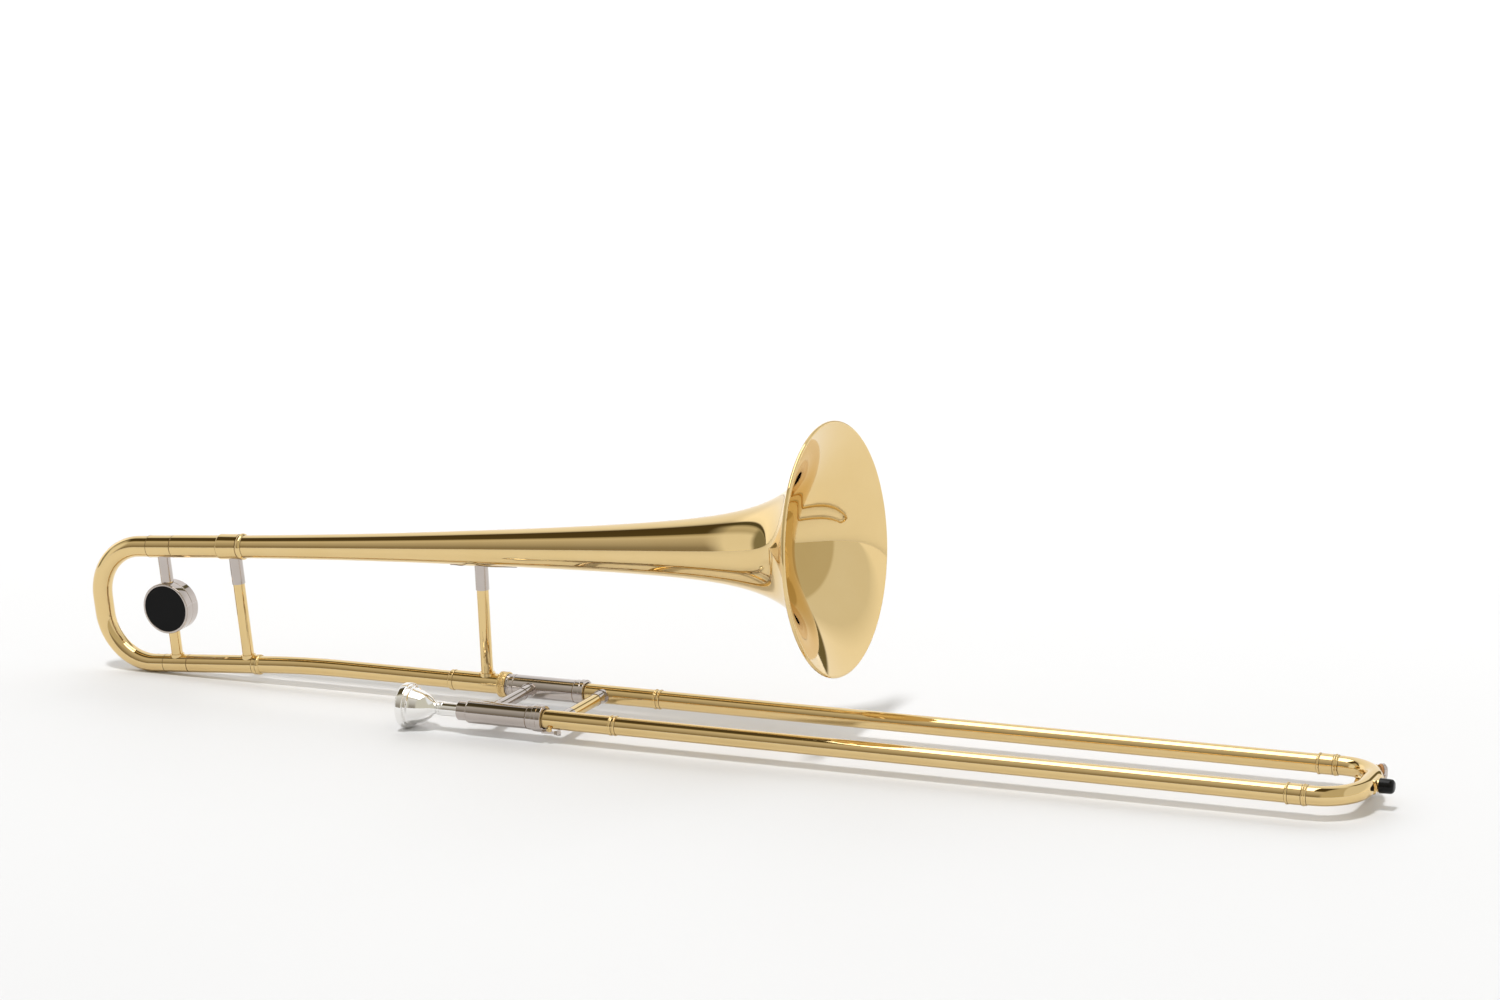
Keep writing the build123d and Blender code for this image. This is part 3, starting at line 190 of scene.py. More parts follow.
def rubber():
    m = Nodes("black_rubber")
    m.link(m.ramp(m.noise(180.0, 4.0, 0.6), [(0.3, (0.0012, 0.0012, 0.0012)), (0.75, (0.004, 0.004, 0.0044))]), m.bsdf.inputs["Base Color"])
    m.link(m.range(m.noise(300.0, 3.0, 0.6), 0.14, 0.22, 0.3, 0.7), m.bsdf.inputs["Roughness"])
    m.set(Specular_IOR_Level=0.22)
    m.bump(m.noise(1400.0, 3.0, 0.6), 0.12, 0.00002)
    return m.mat


def enamel():
    m = Nodes("black_enamel")
    m.link(m.ramp(m.noise(120.0, 3.0, 0.5), [(0.3, (0.0008, 0.0008, 0.0008)), (0.75, (0.0022, 0.0022, 0.0025))]), m.bsdf.inputs["Base Color"])
    m.link(m.range(m.noise(240.0, 3.0, 0.5), 0.05, 0.10, 0.3, 0.7), m.bsdf.inputs["Roughness"])
    m.set(Specular_IOR_Level=0.14)
    m.bump(m.noise(500.0, 2.0, 0.4), 0.15, 0.00002)
    return m.mat


def cork():
    m = Nodes("cork")
    cells = m.voronoi(1100.0)
    col = m.ramp(cells, [(0.0, (0.30, 0.13, 0.05)), (0.45, (0.50, 0.25, 0.10)), (0.9, (0.60, 0.33, 0.15))])
    m.link(m.mix(m.range(m.noise(420.0, 4.0, 0.6), 0.0, 0.7, 0.35, 0.75), col, (0.33, 0.15, 0.06)), m.bsdf.inputs["Base Color"])
    m.set(Roughness=0.75, Specular_IOR_Level=0.3)
    m.bump(cells, 0.5, 0.0001)
    return m.mat


RUBBER, ENAMEL, CORK = rubber(), enamel(), cork()
LOOK = {
    "brass_lacquered": BRASS, "brass_knurled": BRASS_NUT, "nickel_silver": NICKEL, "silver_plate": SILVER,
    "chromed_tube": CHROME, "black_rubber": RUBBER, "black_enamel": ENAMEL, "cork": CORK,
    "steel_spring": STEEL, "steel_screw": STEEL,
}
SLOT_OF = {s["node"]: s["material_slot"] for s in frame["record"]["subparts"]}
for node, obj in N.items():
    for ms in obj.material_slots:
        ms.material = LOOK[SLOT_OF[node]]

# ------------------------------------------------------------ fine meshes
# Turned and bent pieces are rebuilt as dense meshes with softened edges, at the CAD model's own sizes (mm here).
X_SHIFT, Y_SHIFT, SLIDE_H, SLIDE_W = -43.33, 4.335, 18.6, 82.6
BEND_X, BELL_T = -330.4, 103.85
_b, _p = math.radians(4.03), math.radians(1.79)
EX, EY, EZ = Vector((1, 0, 0)), Vector((0, 1, 0)), Vector((0, 0, 1))
E1 = Vector((math.cos(_b), -math.sin(_b) * math.sin(_p), math.sin(_b) * math.cos(_p)))
E2 = Vector((-math.sin(_b), -math.cos(_b) * math.sin(_p), math.cos(_b) * math.cos(_p)))
EN = E1.cross(E2)
BEND = Vector((BEND_X + X_SHIFT, Y_SHIFT, SLIDE_H))
BODY_OF = {n: body for body, nodes in frame["record"]["behaviour"]["bodies"].items() for n in nodes}


def slide_point(x, y=0.0, z=0.0):
    return Vector((x + X_SHIFT, y + Y_SHIFT, SLIDE_H + z))


def bell_point(s, t, n=0.0):
    return BEND + E1 * s + E2 * t + EN * n


def slide_axis(y):
    return slide_point(0, y), EX, EY


def bell_axis(t):
    return bell_point(0, t), E1, E2


def spline(points, per=10):
    """Smooth curve through the points, parameterised by chord length."""
    p = np.array(points, float)
    n = len(p)
    t = np.concatenate(([0.0], np.cumsum(np.hypot(*np.diff(p, axis=0).T))))
    h = np.diff(t)
    A, B = np.zeros((n, n)), np.zeros((n, 2))
    for i in range(1, n - 1):
        A[i, i - 1:i + 2] = h[i - 1], 2 * (h[i - 1] + h[i]), h[i]
        B[i] = 6 * ((p[i + 1] - p[i]) / h[i] - (p[i] - p[i - 1]) / h[i - 1])
    if n > 3:
        A[0, :3] = h[1], -(h[0] + h[1]), h[0]
        A[-1, -3:] = h[-1], -(h[-1] + h[-2]), h[-2]
    else:
        A[0, 0] = A[-1, -1] = 1.0
    M = np.linalg.solve(A, B)
    out = []
    for i in range(n - 1):
        for k in range(per):
            x = t[i] + h[i] * k / per
            u, w = t[i + 1] - x, x - t[i]
            out.append((M[i] * u ** 3 + M[i + 1] * w ** 3) / (6 * h[i]) + (p[i] / h[i] - M[i] * h[i] / 6) * u
                       + (p[i + 1] / h[i] - M[i + 1] * h[i] / 6) * w)
    out.append(p[-1])
    return [tuple(q) for q in out]


def arc3(a, m, b, n=8):
    """Arc through three points, without its first point."""
    (ax, ay), (mx, my), (bx, by) = a, m, b
    d = 2 * (ax * (my - by) + mx * (by - ay) + bx * (ay - my))
    if abs(d) < 1e-9:
        return [m, b]
    ux = ((ax * ax + ay * ay) * (my - by) + (mx * mx + my * my) * (by - ay) + (bx * bx + by * by) * (ay - my)) / d
    uy = ((ax * ax + ay * ay) * (bx - mx) + (mx * mx + my * my) * (ax - bx) + (bx * bx + by * by) * (mx - ax)) / d
    r = math.hypot(ax - ux, ay - uy)
    t0, tm, t1 = (math.atan2(y - uy, x - ux) for x, y in (a, m, b))
    turn_m, turn_b = (tm - t0) % (2 * math.pi), (t1 - t0) % (2 * math.pi)
    if turn_m > turn_b:
        turn_b -= 2 * math.pi
    return [(ux + r * math.cos(t0 + turn_b * k / n), uy + r * math.sin(t0 + turn_b * k / n)) for k in range(1, n + 1)]


def outline(start, *segments):
    """Closed outline in (along, radius): lines, arcs and splines as points."""
    out, here = [start], start
    for seg in segments:
        if seg[0] == "arc":
            out += arc3(here, seg[1], seg[2])
            here = seg[2]
        elif seg[0] == "spline":
            out += spline([here] + list(seg[1:]))[1:]
            here = seg[-1]
        elif seg != here:
            out.append(seg)
            here = seg
    if math.dist(out[0], out[-1]) < 1e-9:
        out.pop()
    return out


def softened(pts, r, n=4):
    """Rounds each corner of a closed outline and adds a holding loop on both sides of it."""
    out, m = [], len(pts)
    for i in range(m):
        a, b, c = (np.array(pts[j % m], float) for j in (i - 1, i, i + 1))
        u, v = a - b, c - b
        lu, lv = np.hypot(*u), np.hypot(*v)
        u, v = u / lu, v / lv
        turn = math.pi - math.acos(max(-1.0, min(1.0, float(u @ v))))
        if b[1] < 1e-6 or turn < math.radians(20) or r <= 0:
            out.append(tuple(b))
            continue
        t = min(r * math.tan(turn / 2), 0.38 * lu, 0.38 * lv)
        if 0.45 * lu > t + 0.22:
            out.append(tuple(b + u * (t + 0.2)))
        p0, p1 = b + u * t, b + v * t
        for k in range(n + 1):
            w = k / n
            out.append(tuple(p0 * (1 - w) ** 2 + b * 2 * w * (1 - w) + p1 * w * w))
        if 0.45 * lv > t + 0.22:
            out.append(tuple(b + v * (t + 0.2)))
    return out


class Maker:
    """Collects rings of vertices and joins them into one mesh."""

    def __init__(self):
        self.v, self.f, self.dark = [], [], []

    def join(self, rings, closed):
        m = len(rings)
        for i in range(m if closed else m - 1):
            a, b = rings[i], rings[(i + 1) % m]
            n = max(len(a), len(b))
            if len(a) == 1 and len(b) == 1:
                continue
            for k in range(n):
                j = (k + 1) % n
                if len(a) == 1:
                    self.f.append((a[0], b[k], b[j]))
                elif len(b) == 1:
                    self.f.append((a[k], b[0], a[j]))
                else:
                    self.f.append((a[k], b[k], b[j], a[j]))

    def turn(self, axis, pts, segs=96, soft=0.15, radial=None):
        origin, ex, ey = axis
        ez = ex.cross(ey)
        rings = []
        for x, r in softened(pts, soft):
            base = len(self.v)
            if r < 1e-6:
                self.v.append(tuple(origin + ex * x))
                rings.append([base])
                continue
            for k in range(segs):
                t = 2 * math.pi * k / segs
                rr = r + (radial(x, t, r) if radial else 0.0)
                self.v.append(tuple(origin + ex * x + ey * (rr * math.cos(t)) + ez * (rr * math.sin(t))))
            rings.append(list(range(base, base + segs)))
        self.join(rings, True)
        return self

    def seam(self, axis, *places):
        """Fine dark lines where one tube enters another, partly solder and old lacquer and partly painted shade of the
        gap between the parts: (along, radius).
        """
        first = len(self.f)
        for x, r in places:
            self.turn(axis, [(x - 0.24, r - 0.1), (x - 0.2, r + 0.06), (x + 0.2, r + 0.06), (x + 0.24, r - 0.1)], 96, 0.0)
        self.dark.append((first, len(self.f)))
        return self

    def bend(self, path, binormal, outer, wall, segs=96):
        """A tube along (centre, tangent, share of the length) with a radius that may change."""
        rings = []
        for inner in (False, True):
            part = []
            for c, tan, w in path:
                side = binormal.cross(tan).normalized()
                r = outer(w) - (wall if inner else 0.0)
                base = len(self.v)
                for k in range(segs):
                    t = 2 * math.pi * k / segs
                    self.v.append(tuple(c + binormal * (r * math.cos(t)) + side * (r * math.sin(t))))
                part.append(list(range(base, base + segs)))
            rings += part[::-1] if inner else part
        self.join(rings, True)
        return self

    def copy(self, node):
        """The CAD piece's own faces, to add detail to."""
        obj = N[node]
        base = len(self.v)
        self.v += [tuple(1000.0 * (obj.matrix_world @ v.co)) for v in obj.data.vertices]
        self.f += [tuple(base + i for i in p.vertices) for p in obj.data.polygons]
        return self

    def loop_line(self, points, ups, r):
        """A fine dark line along a closed path, partly solder and partly painted shade of the gap at a joint."""
        first, rings, n = len(self.f), [], len(points)
        for i in range(n):
            tan = (points[(i + 1) % n] - points[i - 1]).normalized()
            side = tan.cross(ups[i]).normalized()
            up = side.cross(tan)
            base = len(self.v)
            self.v += [tuple(points[i] + side * (r * math.cos(t)) + up * (r * math.sin(t)))
                       for t in (2 * math.pi * k / 8 for k in range(8))]
            rings.append(list(range(base, base + 8)))
        self.join(rings, True)
        self.dark.append((first, len(self.f)))
        return self

    def done(self, node, sharp=34, look=None):
        me = bpy.data.meshes.new(node + "_fine")
        me.from_pydata([(x * 0.001, y * 0.001, z * 0.001) for x, y, z in self.v], [], self.f)
        # The joint-line faces take the second material: solder colour with painted gap shade.
        for first, last in self.dark:
            for poly in me.polygons[first:last]:
                poly.material_index = 1
        bm = bmesh.new()
        bm.from_mesh(me)
        bmesh.ops.remove_doubles(bm, verts=bm.verts, dist=2e-7)
        bmesh.ops.recalc_face_normals(bm, faces=bm.faces)
        bm.to_mesh(me)
        bm.free()
        me.polygons.foreach_set("use_smooth", [True] * len(me.polygons))
        me.set_sharp_from_angle(angle=math.radians(sharp))
        me.materials.append(look or LOOK[SLOT_OF[node]])
        if self.dark:
            me.materials.append(SOLDER_AND_GAP_SHADE)
        obj = bpy.data.objects.new(node + "_fine", me)
        bpy.context.collection.objects.link(obj)
        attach(obj, BODY_OF[node])
        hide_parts(node)
        return obj


def filleted(points, radius, per=60):
    """Straight runs joined by arcs, as (centre, tangent, share of the length)."""
    rows = [(points[0], (points[1] - points[0]).normalized())]
    for i in range(1, len(points) - 1):
        a, b, c = points[i - 1:i + 2]
        u, v = (a - b).normalized(), (c - b).normalized()
        half = u.angle(v) / 2
        t = radius / math.tan(half)
        centre = b + (u + v).normalized() * (radius / math.sin(half))
        p0 = b + u * t
        n = (p0 - centre).normalized()
        turn = math.pi - 2 * half
        rows.append((p0 + u * 0.4, -u))
        for k in range(per + 1):
            w = turn * k / per
            rows.append((centre + n * (radius * math.cos(w)) - u * (radius * math.sin(w)), n * -math.sin(w) - u * math.cos(w)))
        rows.append((b + v * t + v * 0.4, v))
    rows.append((points[-1], (points[-1] - points[-2]).normalized()))
    lengths = [0.0]
    for (p, _), (q, _) in zip(rows, rows[1:]):
        lengths.append(lengths[-1] + (q - p).length)
    return [(c, tan, w / lengths[-1]) for (c, tan), w in zip(rows, lengths)]


def tube(node, axis, x0, x1, r, ri, segs=96):
    return Maker().turn(axis, [(x0, ri), (x0, r), (x1, r), (x1, ri)], segs, 0.12).done(node)


NEAR, FAR = slide_axis(-SLIDE_W), slide_axis(0.0)
LOWER, UPPER = bell_axis(0.0), bell_axis(BELL_T)

# ---- hand slide
tube("inner_tube_near", NEAR, -130.0, 556.5, 6.65, 6.35)
tube("inner_tube_far", FAR, -183.5, 556.5, 6.65, 6.35)
tube("outer_tube_near", NEAR, -109.0, 560.5, 7.40, 7.00)
tube("outer_tube_far", FAR, -109.0, 560.5, 7.40, 7.00)

m = Maker()
for ax in (FAR, NEAR):
    m.turn(ax, outline((441.5, 6.64), (443.5, 6.95), (555.5, 6.95), (556.5, 6.64)), 96, 0.1)
m.done("slide_stockings")

m = Maker()
for ax in (FAR, NEAR):
    m.turn(ax, outline((-108.0, 7.38), (-107.4, 7.70), (-2.8, 7.70), (-2.8, 7.38)), 96, 0.08)
m.done("grip_sleeves")

m = Maker()
for ax in (FAR, NEAR):
    x0 = -2.8
    m.turn(ax, outline((x0, 7.38), (x0, 7.8), ("arc", (x0 + 0.9, 8.3), (x0 + 1.8, 7.8)), (x0 + 2.2, 7.7), (x0 + 3.6, 7.7),
                       (x0 + 4.0, 7.8), ("arc", (x0 + 4.8, 8.2), (x0 + 5.6, 7.6)), (x0 + 5.8, 7.38)), 128, 0.08)
    m.seam(ax, (x0 + 2.9, 7.7), (x0 + 6.0, 7.4))
m.done("grip_bands")

m = Maker()
for ax in (FAR, NEAR):
    x0, x1, r = 555.8, 572.2, 8.1
    m.turn(ax, outline((x0, 7.38), (x0, r), ("arc", (x0 + 0.9, r + 0.42), (x0 + 1.8, r)), (x0 + 2.2, r - 0.05),
                       (x1 - 4.0, r - 0.05), (x1 - 3.6, r), ("arc", (x1 - 2.7, r + 0.42), (x1 - 1.8, r)),
                       (x1 - 1.7, r - 0.15), ("arc", (x1 - 0.8, r + 0.1), (x1, 7.65)), (x1, 7.5)), 128, 0.1)
    m.seam(ax, (x0 - 0.2, 7.4), (x0 + 2.15, r - 0.05), (x1 - 3.85, r - 0.05), (x1 + 0.2, 7.55))
m.done("bow_ferrules")

path = filleted([slide_point(560.5, -SLIDE_W), slide_point(606.3, -SLIDE_W), slide_point(606.3, 0), slide_point(560.5, 0)], 32.0, 80)
Maker().bend(path, EZ, lambda w: 7.55, 0.55, 128).done("slide_bow")

x0, x1 = -139.5, -130.0
Maker().turn(NEAR, outline((x0, 6.35), (x0, 7.3), ("arc", (x0 + 0.2, 7.8), (x0 + 0.7, 7.9)), (x1 - 1.0, 7.9), (x1 - 1.0, 8.7),
                           ("arc", (x1 - 0.5, 9.0), (x1, 8.7)), (x1, 6.35)), 128, 0.1).done("mouthpiece_receiver")


def barrel(node, axis, x1, flanged):
    x0, r = -130.0, 9.5
    outer = [(x0, r - 0.5), ("arc", (x0 + 0.2, r - 0.15), (x0 + 0.6, r)), (x1 - 9.5, r),
             ("arc", (x1 - 9.0, r + 0.35), (x1 - 8.4, r + 0.4))]
    if flanged:
        outer += [(x1 - 4.6, r + 0.4), (x1 - 4.6, 10.1), ("arc", (x1 - 4.3, 10.4), (x1 - 3.9, 10.4)), (x1 - 0.8, 10.4),
                  ("arc", (x1 - 0.2, 10.15), (x1, 9.6)), (x1, 8.35), (x1 - 3.0, 8.35), (x1 - 3.0, 8.9)]
    else:
        outer += [(x1, r + 0.4), (x1, 8.35), (x1 - 2.0, 8.35), (x1 - 2.0, 8.9)]
    outer += [(x0 + 4.0, 8.9), (x0 + 4.0, 6.65)]
    Maker().turn(axis, outline((x0, 6.65), *outer), 160, 0.12).seam(axis, (x1 - 9.7, r)).done(node)


barrel("cork_barrel_far", FAR, -65.1, True)
barrel("cork_barrel_near", NEAR, -66.1, False)

thread = [(-141.2, 7.85), (-141.2, 8.9)]
for k in range(5):
    thread += [(-140.6 + 1.2 * k, 9.2), (-140.0 + 1.2 * k, 8.9)]
thread[-1] = (-135.0, 8.8)
Maker().turn(FAR, outline((-183.5, 6.65), (-183.5, 7.50), (-143.4, 7.85), *thread, (-134.4, 8.8), (-134.2, 9.1),
                          ("arc", (-133.9, 9.4), (-133.5, 9.5)), (-131.0, 9.5), ("arc", (-130.6, 9.35), (-130.4, 9.0)),
                          (-130.0, 9.0), (-130.0, 6.65)), 128, 0.1).done("slide_tenon")

x0, x1, ax = 615.05, 626.4, (slide_point(0, -SLIDE_W / 2), EX, EY)
Maker().turn(ax, outline((x0, 5.0), (x0, 5.3), ("arc", (x0 + 0.2, 5.65), (x0 + 0.6, 5.8)), (x1 - 3.2, 5.55),
                         ("arc", (x1 - 0.9, 4.7), (x1, 3.0)), (x1, 0.0), (621.3, 0.0), (621.3, 2.6), (615.9, 2.6), (615.9, 5.0)),
             128, 0.12).done("bumper_foot")

# ---- mouthpiece
q = -191.5
Maker().turn(NEAR, outline(
    (q + 0.9, 12.8), ("arc", (q + 0.05, 14.9), (q + 0.9, 17.1)), ("arc", (q + 1.5, 18.0), (q + 2.6, 18.6)),
    (q + 6.6, 18.6), ("arc", (q + 7.4, 18.2), (q + 7.8, 17.4)), (q + 8.0, 16.4), (q + 8.8, 16.4),
    ("arc", (q + 9.6, 16.6), (q + 10.2, 15.9)), (q + 10.8, 15.0),
    ("spline", (q + 14.0, 13.9), (q + 18.0, 12.7), (q + 22.0, 10.8), (q + 26.0, 7.9), (q + 29.2, 5.3), (q + 31.4, 4.3)),
    ("arc", (q + 32.0, 4.4), (q + 32.4, 4.9)), ("arc", (q + 33.2, 5.3), (q + 34.0, 4.9)),
    ("arc", (q + 34.4, 4.7), (q + 34.8, 4.9)), ("arc", (q + 36.2, 5.9), (q + 37.6, 5.68)),
    (-139.5, 5.66), (-113.1, 5.26), (-112.5, 4.9), (-112.5, 4.3), (q + 60, 3.7),
    (q + 32.0, 3.2), ("arc", (q + 29.0, 3.4), (q + 26.0, 4.8)),
    ("spline", (q + 22.0, 7.7), (q + 17.0, 10.1), (q + 10.0, 11.8), (q + 3.0, 12.6), (q + 0.9, 12.8))), 224, 0.12).done("mouthpiece")

# ---- bell section
BELL = [(-50.6, 9.75), (5.7, 10.3), (60.2, 11.2), (114.9, 12.5), (168.7, 14.15), (223.6, 16.0), (278.7, 18.3),
        (334.0, 21.3), (373.5, 24.5), (408.2, 29.1), (433.0, 34.9), (452.8, 42.5), (468.7, 52.2), (480.6, 63.4),
        (490.6, 77.4), (497.2, 89.8), (501.7, 100.3)]


def inside(points, d):
    out = []
    for i, (s, r) in enumerate(points):
        a, b = points[max(i - 1, 0)], points[min(i + 1, len(points) - 1)]
        ds, dr = b[0] - a[0], b[1] - a[1]
        n = math.hypot(ds, dr)
        out.append((s + d * dr / n, r - d * ds / n))
    return out


inner = inside(BELL, 0.6)
Maker().turn(UPPER, outline((-58.3, 9.75), BELL[0], ("spline", *BELL[1:]), inner[-1], ("spline", *inner[-2::-1]), (-58.3, 9.15)),
             288, 0.0).done("bell")
wire = [(500.7 + 1.58 * math.cos(2 * math.pi * k / 24), 100.4 + 1.58 * math.sin(2 * math.pi * k / 24)) for k in range(24)]
Maker().turn(UPPER, wire, 288, 0.0).done("bell_rim")

# the pointed plate that the front brace stands on, with the line around its edge
PATCH = [(151.1, 0.5), (159.9, 2.4), (167.2, 7.1), (174.6, 11.1), (181.9, 9.3), (189.8, 4.8), (199.1, 1.9), (212.8, 0.5)]
half = spline(PATCH, 12)
bell_s, bell_r = [p[0] for p in BELL], [p[1] for p in BELL]
points, ups = [], []
for a, b in half + [(a, -b) for a, b in half[::-1]]:
    r = float(np.interp(a, bell_s, bell_r)) + 0.62
    up = (EN * b - E2 * math.sqrt(r * r - b * b)).normalized()
    points.append(bell_point(a, BELL_T) + up * r)
    ups.append(up)
# The plate's edge line uses the joint material: partly solder, partly painted shade where the plate meets the bell.
Maker().copy("bell_patch").loop_line(points, ups, 0.34).done("bell_patch")

Maker().turn(UPPER, outline((-70.3, 9.75), (-70.3, 10.15), ("arc", (-69.9, 10.6), (-68.9, 10.8)), (-50.6, 10.8), (-50.2, 10.65),
                            ("arc", (-48.3, 11.35), (-46.4, 10.45)), (-45.8, 9.87), (-45.8, 9.80), (-58.3, 9.75)), 160, 0.06).seam(
    UPPER, (-70.5, 9.75), (-50.6, 10.8), (-45.6, 9.8)).done("bell_ferrule")
tube("tuning_sleeve_upper", UPPER, -116.6, -58.3, 9.75, 9.25, 128)
tube("tuning_sleeve_lower", LOWER, -116.6, -47.8, 7.85, 7.40, 128)
tube("tuning_leg_lower", LOWER, -141.2, -53.0, 7.35, 6.90, 128)
tube("tuning_leg_upper", UPPER, -141.2, -61.5, 9.20, 8.75, 128)
neck = filleted([bell_point(-47.8, 0), BEND, slide_point(-186.5)], 1000.0, 60)
Maker().bend(neck, E1.cross(EX).normalized(), lambda w: 7.35, 0.5, 128).done("gooseneck")
Maker().turn(LOWER, outline((-51.9, 7.80), (-51.9, 8.05), ("arc", (-51.3, 8.55), (-50.3, 8.65)), (-47.8, 8.65),
                            ("arc", (-45.9, 8.5), (-44.9, 7.45)), (-44.9, 7.30), (-47.8, 7.30), (-47.8, 7.80)), 160, 0.08).seam(
    LOWER, (-52.1, 7.85), (-47.8, 8.65)).done("gooseneck_ferrule")
Maker().turn(FAR, outline((-189.0, 7.35), (-189.0, 8.40), (-143.3, 8.40), (-143.3, 9.15), (-141.9, 9.15), (-141.9, 7.914),
                          (-184.4, 7.541), (-184.4, 7.35)), 128, 0.12).done("bell_receiver")
Maker().turn(FAR, outline((-191.4, 7.33), (-191.4, 7.9), ("arc", (-191.0, 8.45), (-190.2, 8.6)), (-188.2, 8.75),
                          ("arc", (-187.6, 8.7), (-187.3, 8.5)), (-187.3, 8.38), (-189.0, 8.38), (-189.0, 7.33)),
             160, 0.08).seam(FAR, (-191.6, 7.4), (-187.1, 8.4)).done("receiver_collar")


def knurl(x, t, r):
    """Crossed diamond knurling on the nut's broad band."""
    if r < 10.6 or not -143.02 < x < -139.18:
        return 0.0
    k = 2.9
    cut = min(abs(math.sin(22 * t + k * x)), abs(math.sin(22 * t - k * x)))
    fade = min(1.0, (x + 143.02) / 0.35, (-139.18 - x) / 0.35)
    return -0.42 * fade * (1.0 - min(1.0, cut * 1.5))


n0, n1 = -145.0, -137.2
band = [(n0 + 1.95 + 3.9 * k / 26, 10.82) for k in range(27)]
Maker().turn(FAR, outline((n0, 8.47), (n0, 9.6), ("arc", (n0 + 0.3, 10.5), (n0 + 1.2, 10.9)), (n0 + 1.6, 10.65), *band,
                          (n1 - 1.6, 10.65), (n1 - 1.2, 10.9), ("arc", (n1 - 0.3, 10.6), (n1, 9.95)), (n1, 9.55),
                          (-143.6, 9.55), (-143.6, 8.47)), 352, 0.08, knurl).done("bell_lock_nut", 50)

# ---- tuning slide
crook = filleted([bell_point(-141.2, 0), bell_point(-197.1, 0), bell_point(-197.1, BELL_T), bell_point(-141.2, BELL_T)], 45.0, 90)
Maker().bend(crook, EN, lambda w: 7.695 + 1.40 * w, 0.495, 144).done("tuning_crook")
m = Maker()
for ax, leg, r in ((LOWER, 7.35, 7.80), (UPPER, 9.20, 9.55)):
    m.turn(ax, outline((-141.2, leg), (-141.2, r - 0.2), ("arc", (-141.05, r - 0.06), (-140.8, r)), (-117.3, r),
                       ("arc", (-117.05, r - 0.06), (-116.9, r - 0.2)), (-116.9, leg)), 144, 0.05)
    m.seam(ax, (-140.9, r), (-117.2, r))
m.done("tuning_slide_ferrules")

h = 9.15
cw = (bell_point(-129.1, 50.7), EN, E1)
Maker().turn(cw, outline((0.0, 0.0), (0.0, 21.55), ("arc", (0.18, 21.9), (0.6, 22.1)), (h - 1.0, 22.1),
                         ("arc", (h - 0.3, 21.75), (h, 21.0)), (h, 20.4), (h - 0.2, 20.15), (h - 1.3, 20.1), (h - 1.3, 0.0)),
             224, 0.12).done("counterweight_front")
Maker().turn(cw, outline((h - 1.3, 0.0), (h - 1.3, 20.05), (h - 0.4, 20.05), (h - 0.4, 0.0)), 192, 0.25).done("counterweight_badge")

# ------------------------------------------------------------------- stage
floor_me = bpy.data.meshes.new("floor")
R, K = 40.0, 64
verts = [(0, 0, 0)] + [(R * math.cos(2 * math.pi * i / K), R * math.sin(2 * math.pi * i / K), 0) for i in range(K)]
floor_me.from_pydata(verts, [], [(0, i + 1, (i + 1) % K + 1) for i in range(K)])
floor = bpy.data.objects.new("floor", floor_me)
bpy.context.collection.objects.link(floor)
fm = Nodes("studio_floor")
fm.link(fm.ramp(fm.noise(0.9, 3.0, 0.5), [(0.3, (0.735, 0.742, 0.764)), (0.7, (0.750, 0.757, 0.779))]), fm.bsdf.inputs["Base Color"])
fm.set(Roughness=0.6, Specular_IOR_Level=0.15)
floor_me.materials.append(fm.mat)

world = bpy.data.worlds.new("studio")
bpy.context.scene.world = world
world.use_nodes = True
wt = world.node_tree
wt.nodes.clear()
wo = wt.nodes.new("ShaderNodeOutputWorld")
bg = wt.nodes.new("ShaderNodeBackground")
wt.links.new(bg.outputs[0], wo.inputs[0])
tc = wt.nodes.new("ShaderNodeTexCoord")
sep = wt.nodes.new("ShaderNodeSeparateXYZ")
wt.links.new(tc.outputs["Generated"], sep.inputs[0])


def wmath(op, a, b=0.0):
    m = wt.nodes.new("ShaderNodeMath")
    m.operation = op
    for s, v in ((m.inputs[0], a), (m.inputs[1], b)):
        if isinstance(v, (int, float)):
            s.default_value = v
        else:
            wt.links.new(v, s)
    return m.outputs[0]


def wramp(src, stops, interp="EASE"):
    r = wt.nodes.new("ShaderNodeValToRGB")
    r.color_ramp.interpolation = interp
    el = r.color_ramp.elements
    while len(el) < len(stops):
        el.new(0.5)
    for e, (p, c) in zip(el, stops):
        e.position = p
        e.color = (c, c, c, 1.0) if not isinstance(c, tuple) else (*c, 1.0)
    wt.links.new(src, r.inputs[0])
    return r.outputs[0]


# A white sweep behind, a lit wall at each end, a dim room on the camera's side, and a dark ceiling overhead.
turn = wmath("DIVIDE", wmath("ARCTAN2", sep.outputs["Z"], wmath("MULTIPLY", sep.outputs["Y"], -1.0)), math.pi)
along = wmath("ADD", wmath("MULTIPLY", sep.outputs["X"], 0.5), 0.5)


def wmix(fac, a, b):
    m = wt.nodes.new("ShaderNodeMix")
    m.data_type = "RGBA"
    wt.links.new(fac, m.inputs[0])
    for s, v in ((m.inputs[6], a), (m.inputs[7], b)):
        if isinstance(v, tuple):
            s.default_value = (*v, 1.0)
        else:
            wt.links.new(v, s)
    return m.outputs[2]


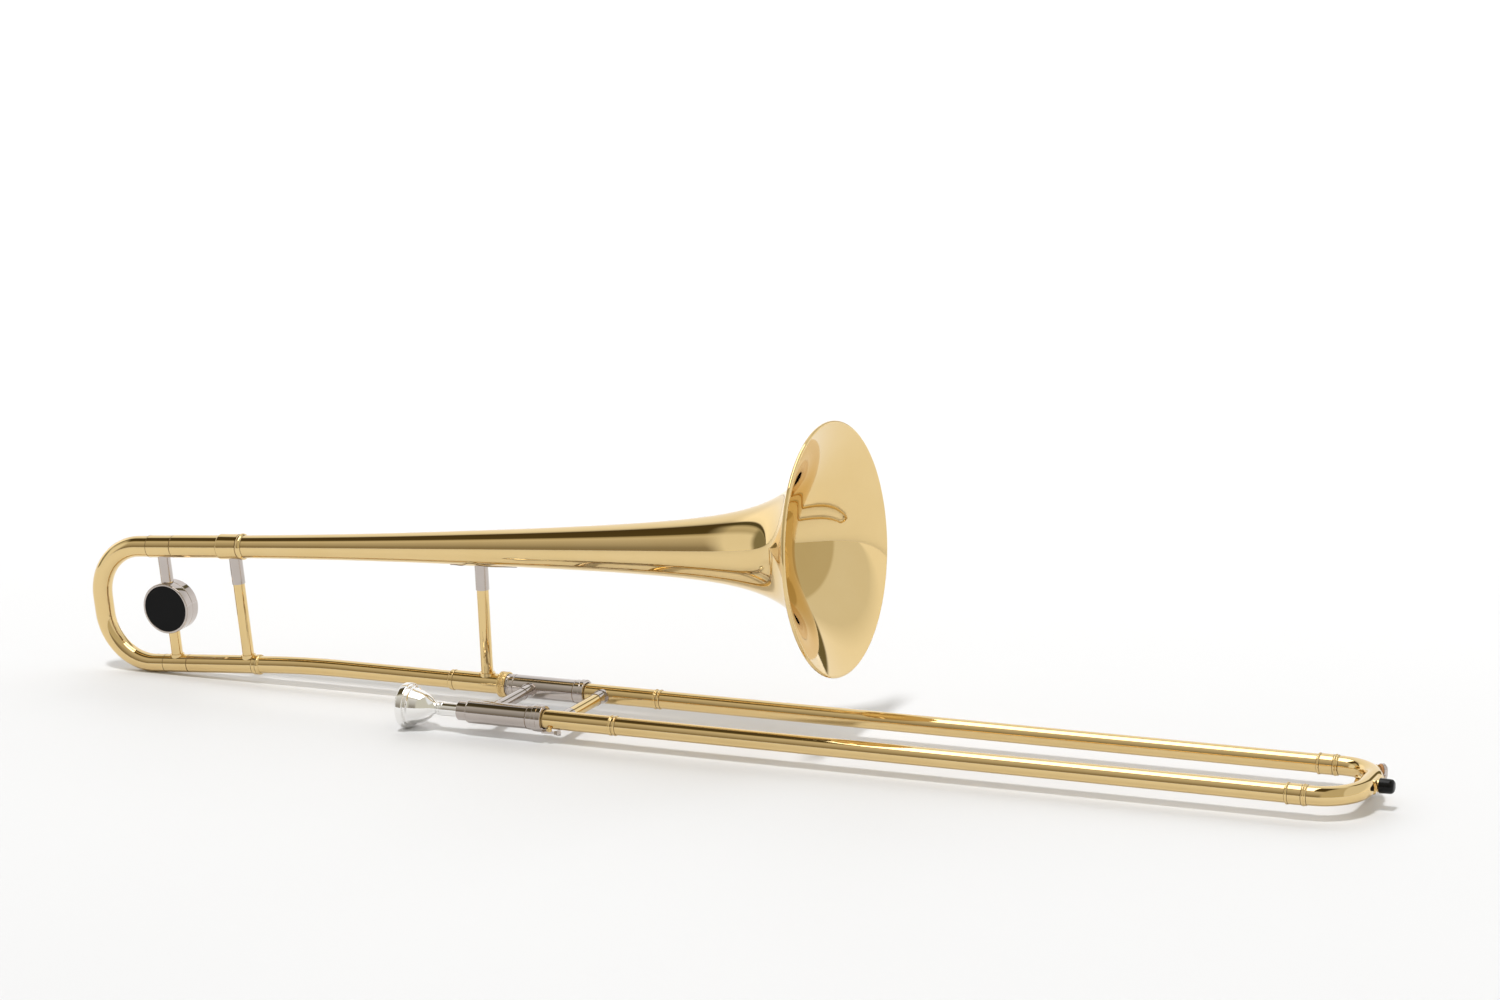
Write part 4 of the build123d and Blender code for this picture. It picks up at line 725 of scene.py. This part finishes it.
middle = wramp(turn, [(0.0, (0.28, 0.25, 0.20)), (0.07, (0.30, 0.27, 0.22)), (0.135, (0.43, 0.40, 0.34)),
                      (0.20, (0.52, 0.49, 0.43)), (0.265, (0.60, 0.57, 0.51)), (0.32, (0.70, 0.67, 0.60)),
                      (0.365, (0.48, 0.44, 0.34)), (0.395, (0.09, 0.07, 0.03)), (0.60, (0.075, 0.055, 0.025)),
                      (0.622, (0.5, 0.5, 0.48)), (0.665, (0.88, 0.88, 0.88)), (0.73, (1.0, 1.0, 1.0)), (1.0, (1.05, 1.05, 1.05))], "LINEAR")
left_end = wramp(turn, [(0.0, (0.92, 0.92, 0.90)), (0.33, (0.90, 0.90, 0.88)), (0.42, (0.55, 0.53, 0.45)),
                        (0.50, (0.65, 0.63, 0.54)), (0.535, (0.40, 0.38, 0.30)), (0.555, (0.10, 0.09, 0.05)),
                        (0.605, (0.09, 0.08, 0.04)), (0.63, (1.15, 1.15, 1.15)), (0.72, (1.25, 1.25, 1.25)), (1.0, (1.1, 1.1, 1.1))], "LINEAR")
right_end = wmix(wramp(wmath("MULTIPLY", wmath("ADD", sep.outputs["Y"], wmath("MULTIPLY", sep.outputs["X"], 1.57)), 0.5),
                       [(0.415, 0.0), (0.46, 1.0)], "LINEAR"), (0.59, 0.56, 0.46), (0.80, 0.80, 0.785))
sky = wmix(wramp(along, [(0.11, 1.0), (0.15, 0.0)], "LINEAR"), middle, left_end)
deep_left = wmath("MULTIPLY", wramp(along, [(0.02, 1.0), (0.034, 0.0)], "LINEAR"), wramp(turn, [(0.50, 1.0), (0.56, 0.0)], "LINEAR"))
sky = wmix(deep_left, sky, (0.26, 0.25, 0.18))
sky = wmix(wmath("MULTIPLY", wramp(along, [(0.56, 0.0), (0.61, 1.0)], "LINEAR"), wramp(turn, [(0.80, 1.0), (0.90, 0.0)], "LINEAR")), sky, right_end)
flag = wmath("MULTIPLY", wramp(along, [(0.515, 0.0), (0.53, 1.0), (0.60, 1.0), (0.615, 0.0)], "LINEAR"),
             wramp(turn, [(0.70, 0.0), (0.73, 1.0)], "LINEAR"))
sky = wmix(flag, sky, (0.16, 0.14, 0.07))
wt.links.new(sky, bg.inputs["Color"])
bg.inputs["Strength"].default_value = 1.0


def softbox(name, pos, aim, w, h, radiance, colour=(1, 1, 1)):
    d = bpy.data.lights.new(name, "AREA")
    d.shape = "RECTANGLE"
    d.size, d.size_y = w, h
    d.energy = radiance * math.pi * w * h
    d.color = colour
    o = bpy.data.objects.new(name, d)
    bpy.context.collection.objects.link(o)
    o.location = pos
    o.rotation_euler = (Vector(aim) - Vector(pos)).to_track_quat("-Z", "Y").to_euler()
    return o


over = softbox("overhead", (-0.10, -0.05, 1.6), (-0.10, -0.05, 0.0), 0.82, 1.26, 3.2)
over.visible_diffuse = False
far_light = softbox("far_floor", (-1.5, 5.5, 3.5), (-1.5, 5.5, 0.0), 10.0, 7.0, 1.2)
far_light.visible_glossy = False
sun_data = bpy.data.lights.new("fill", "SUN")
sun_data.energy = 1.72
sun_data.angle = math.radians(9)
sun = bpy.data.objects.new("fill", sun_data)
bpy.context.collection.objects.link(sun)
sun.rotation_euler = (math.radians(14), 0.0, 0.0)
sun.visible_glossy = False
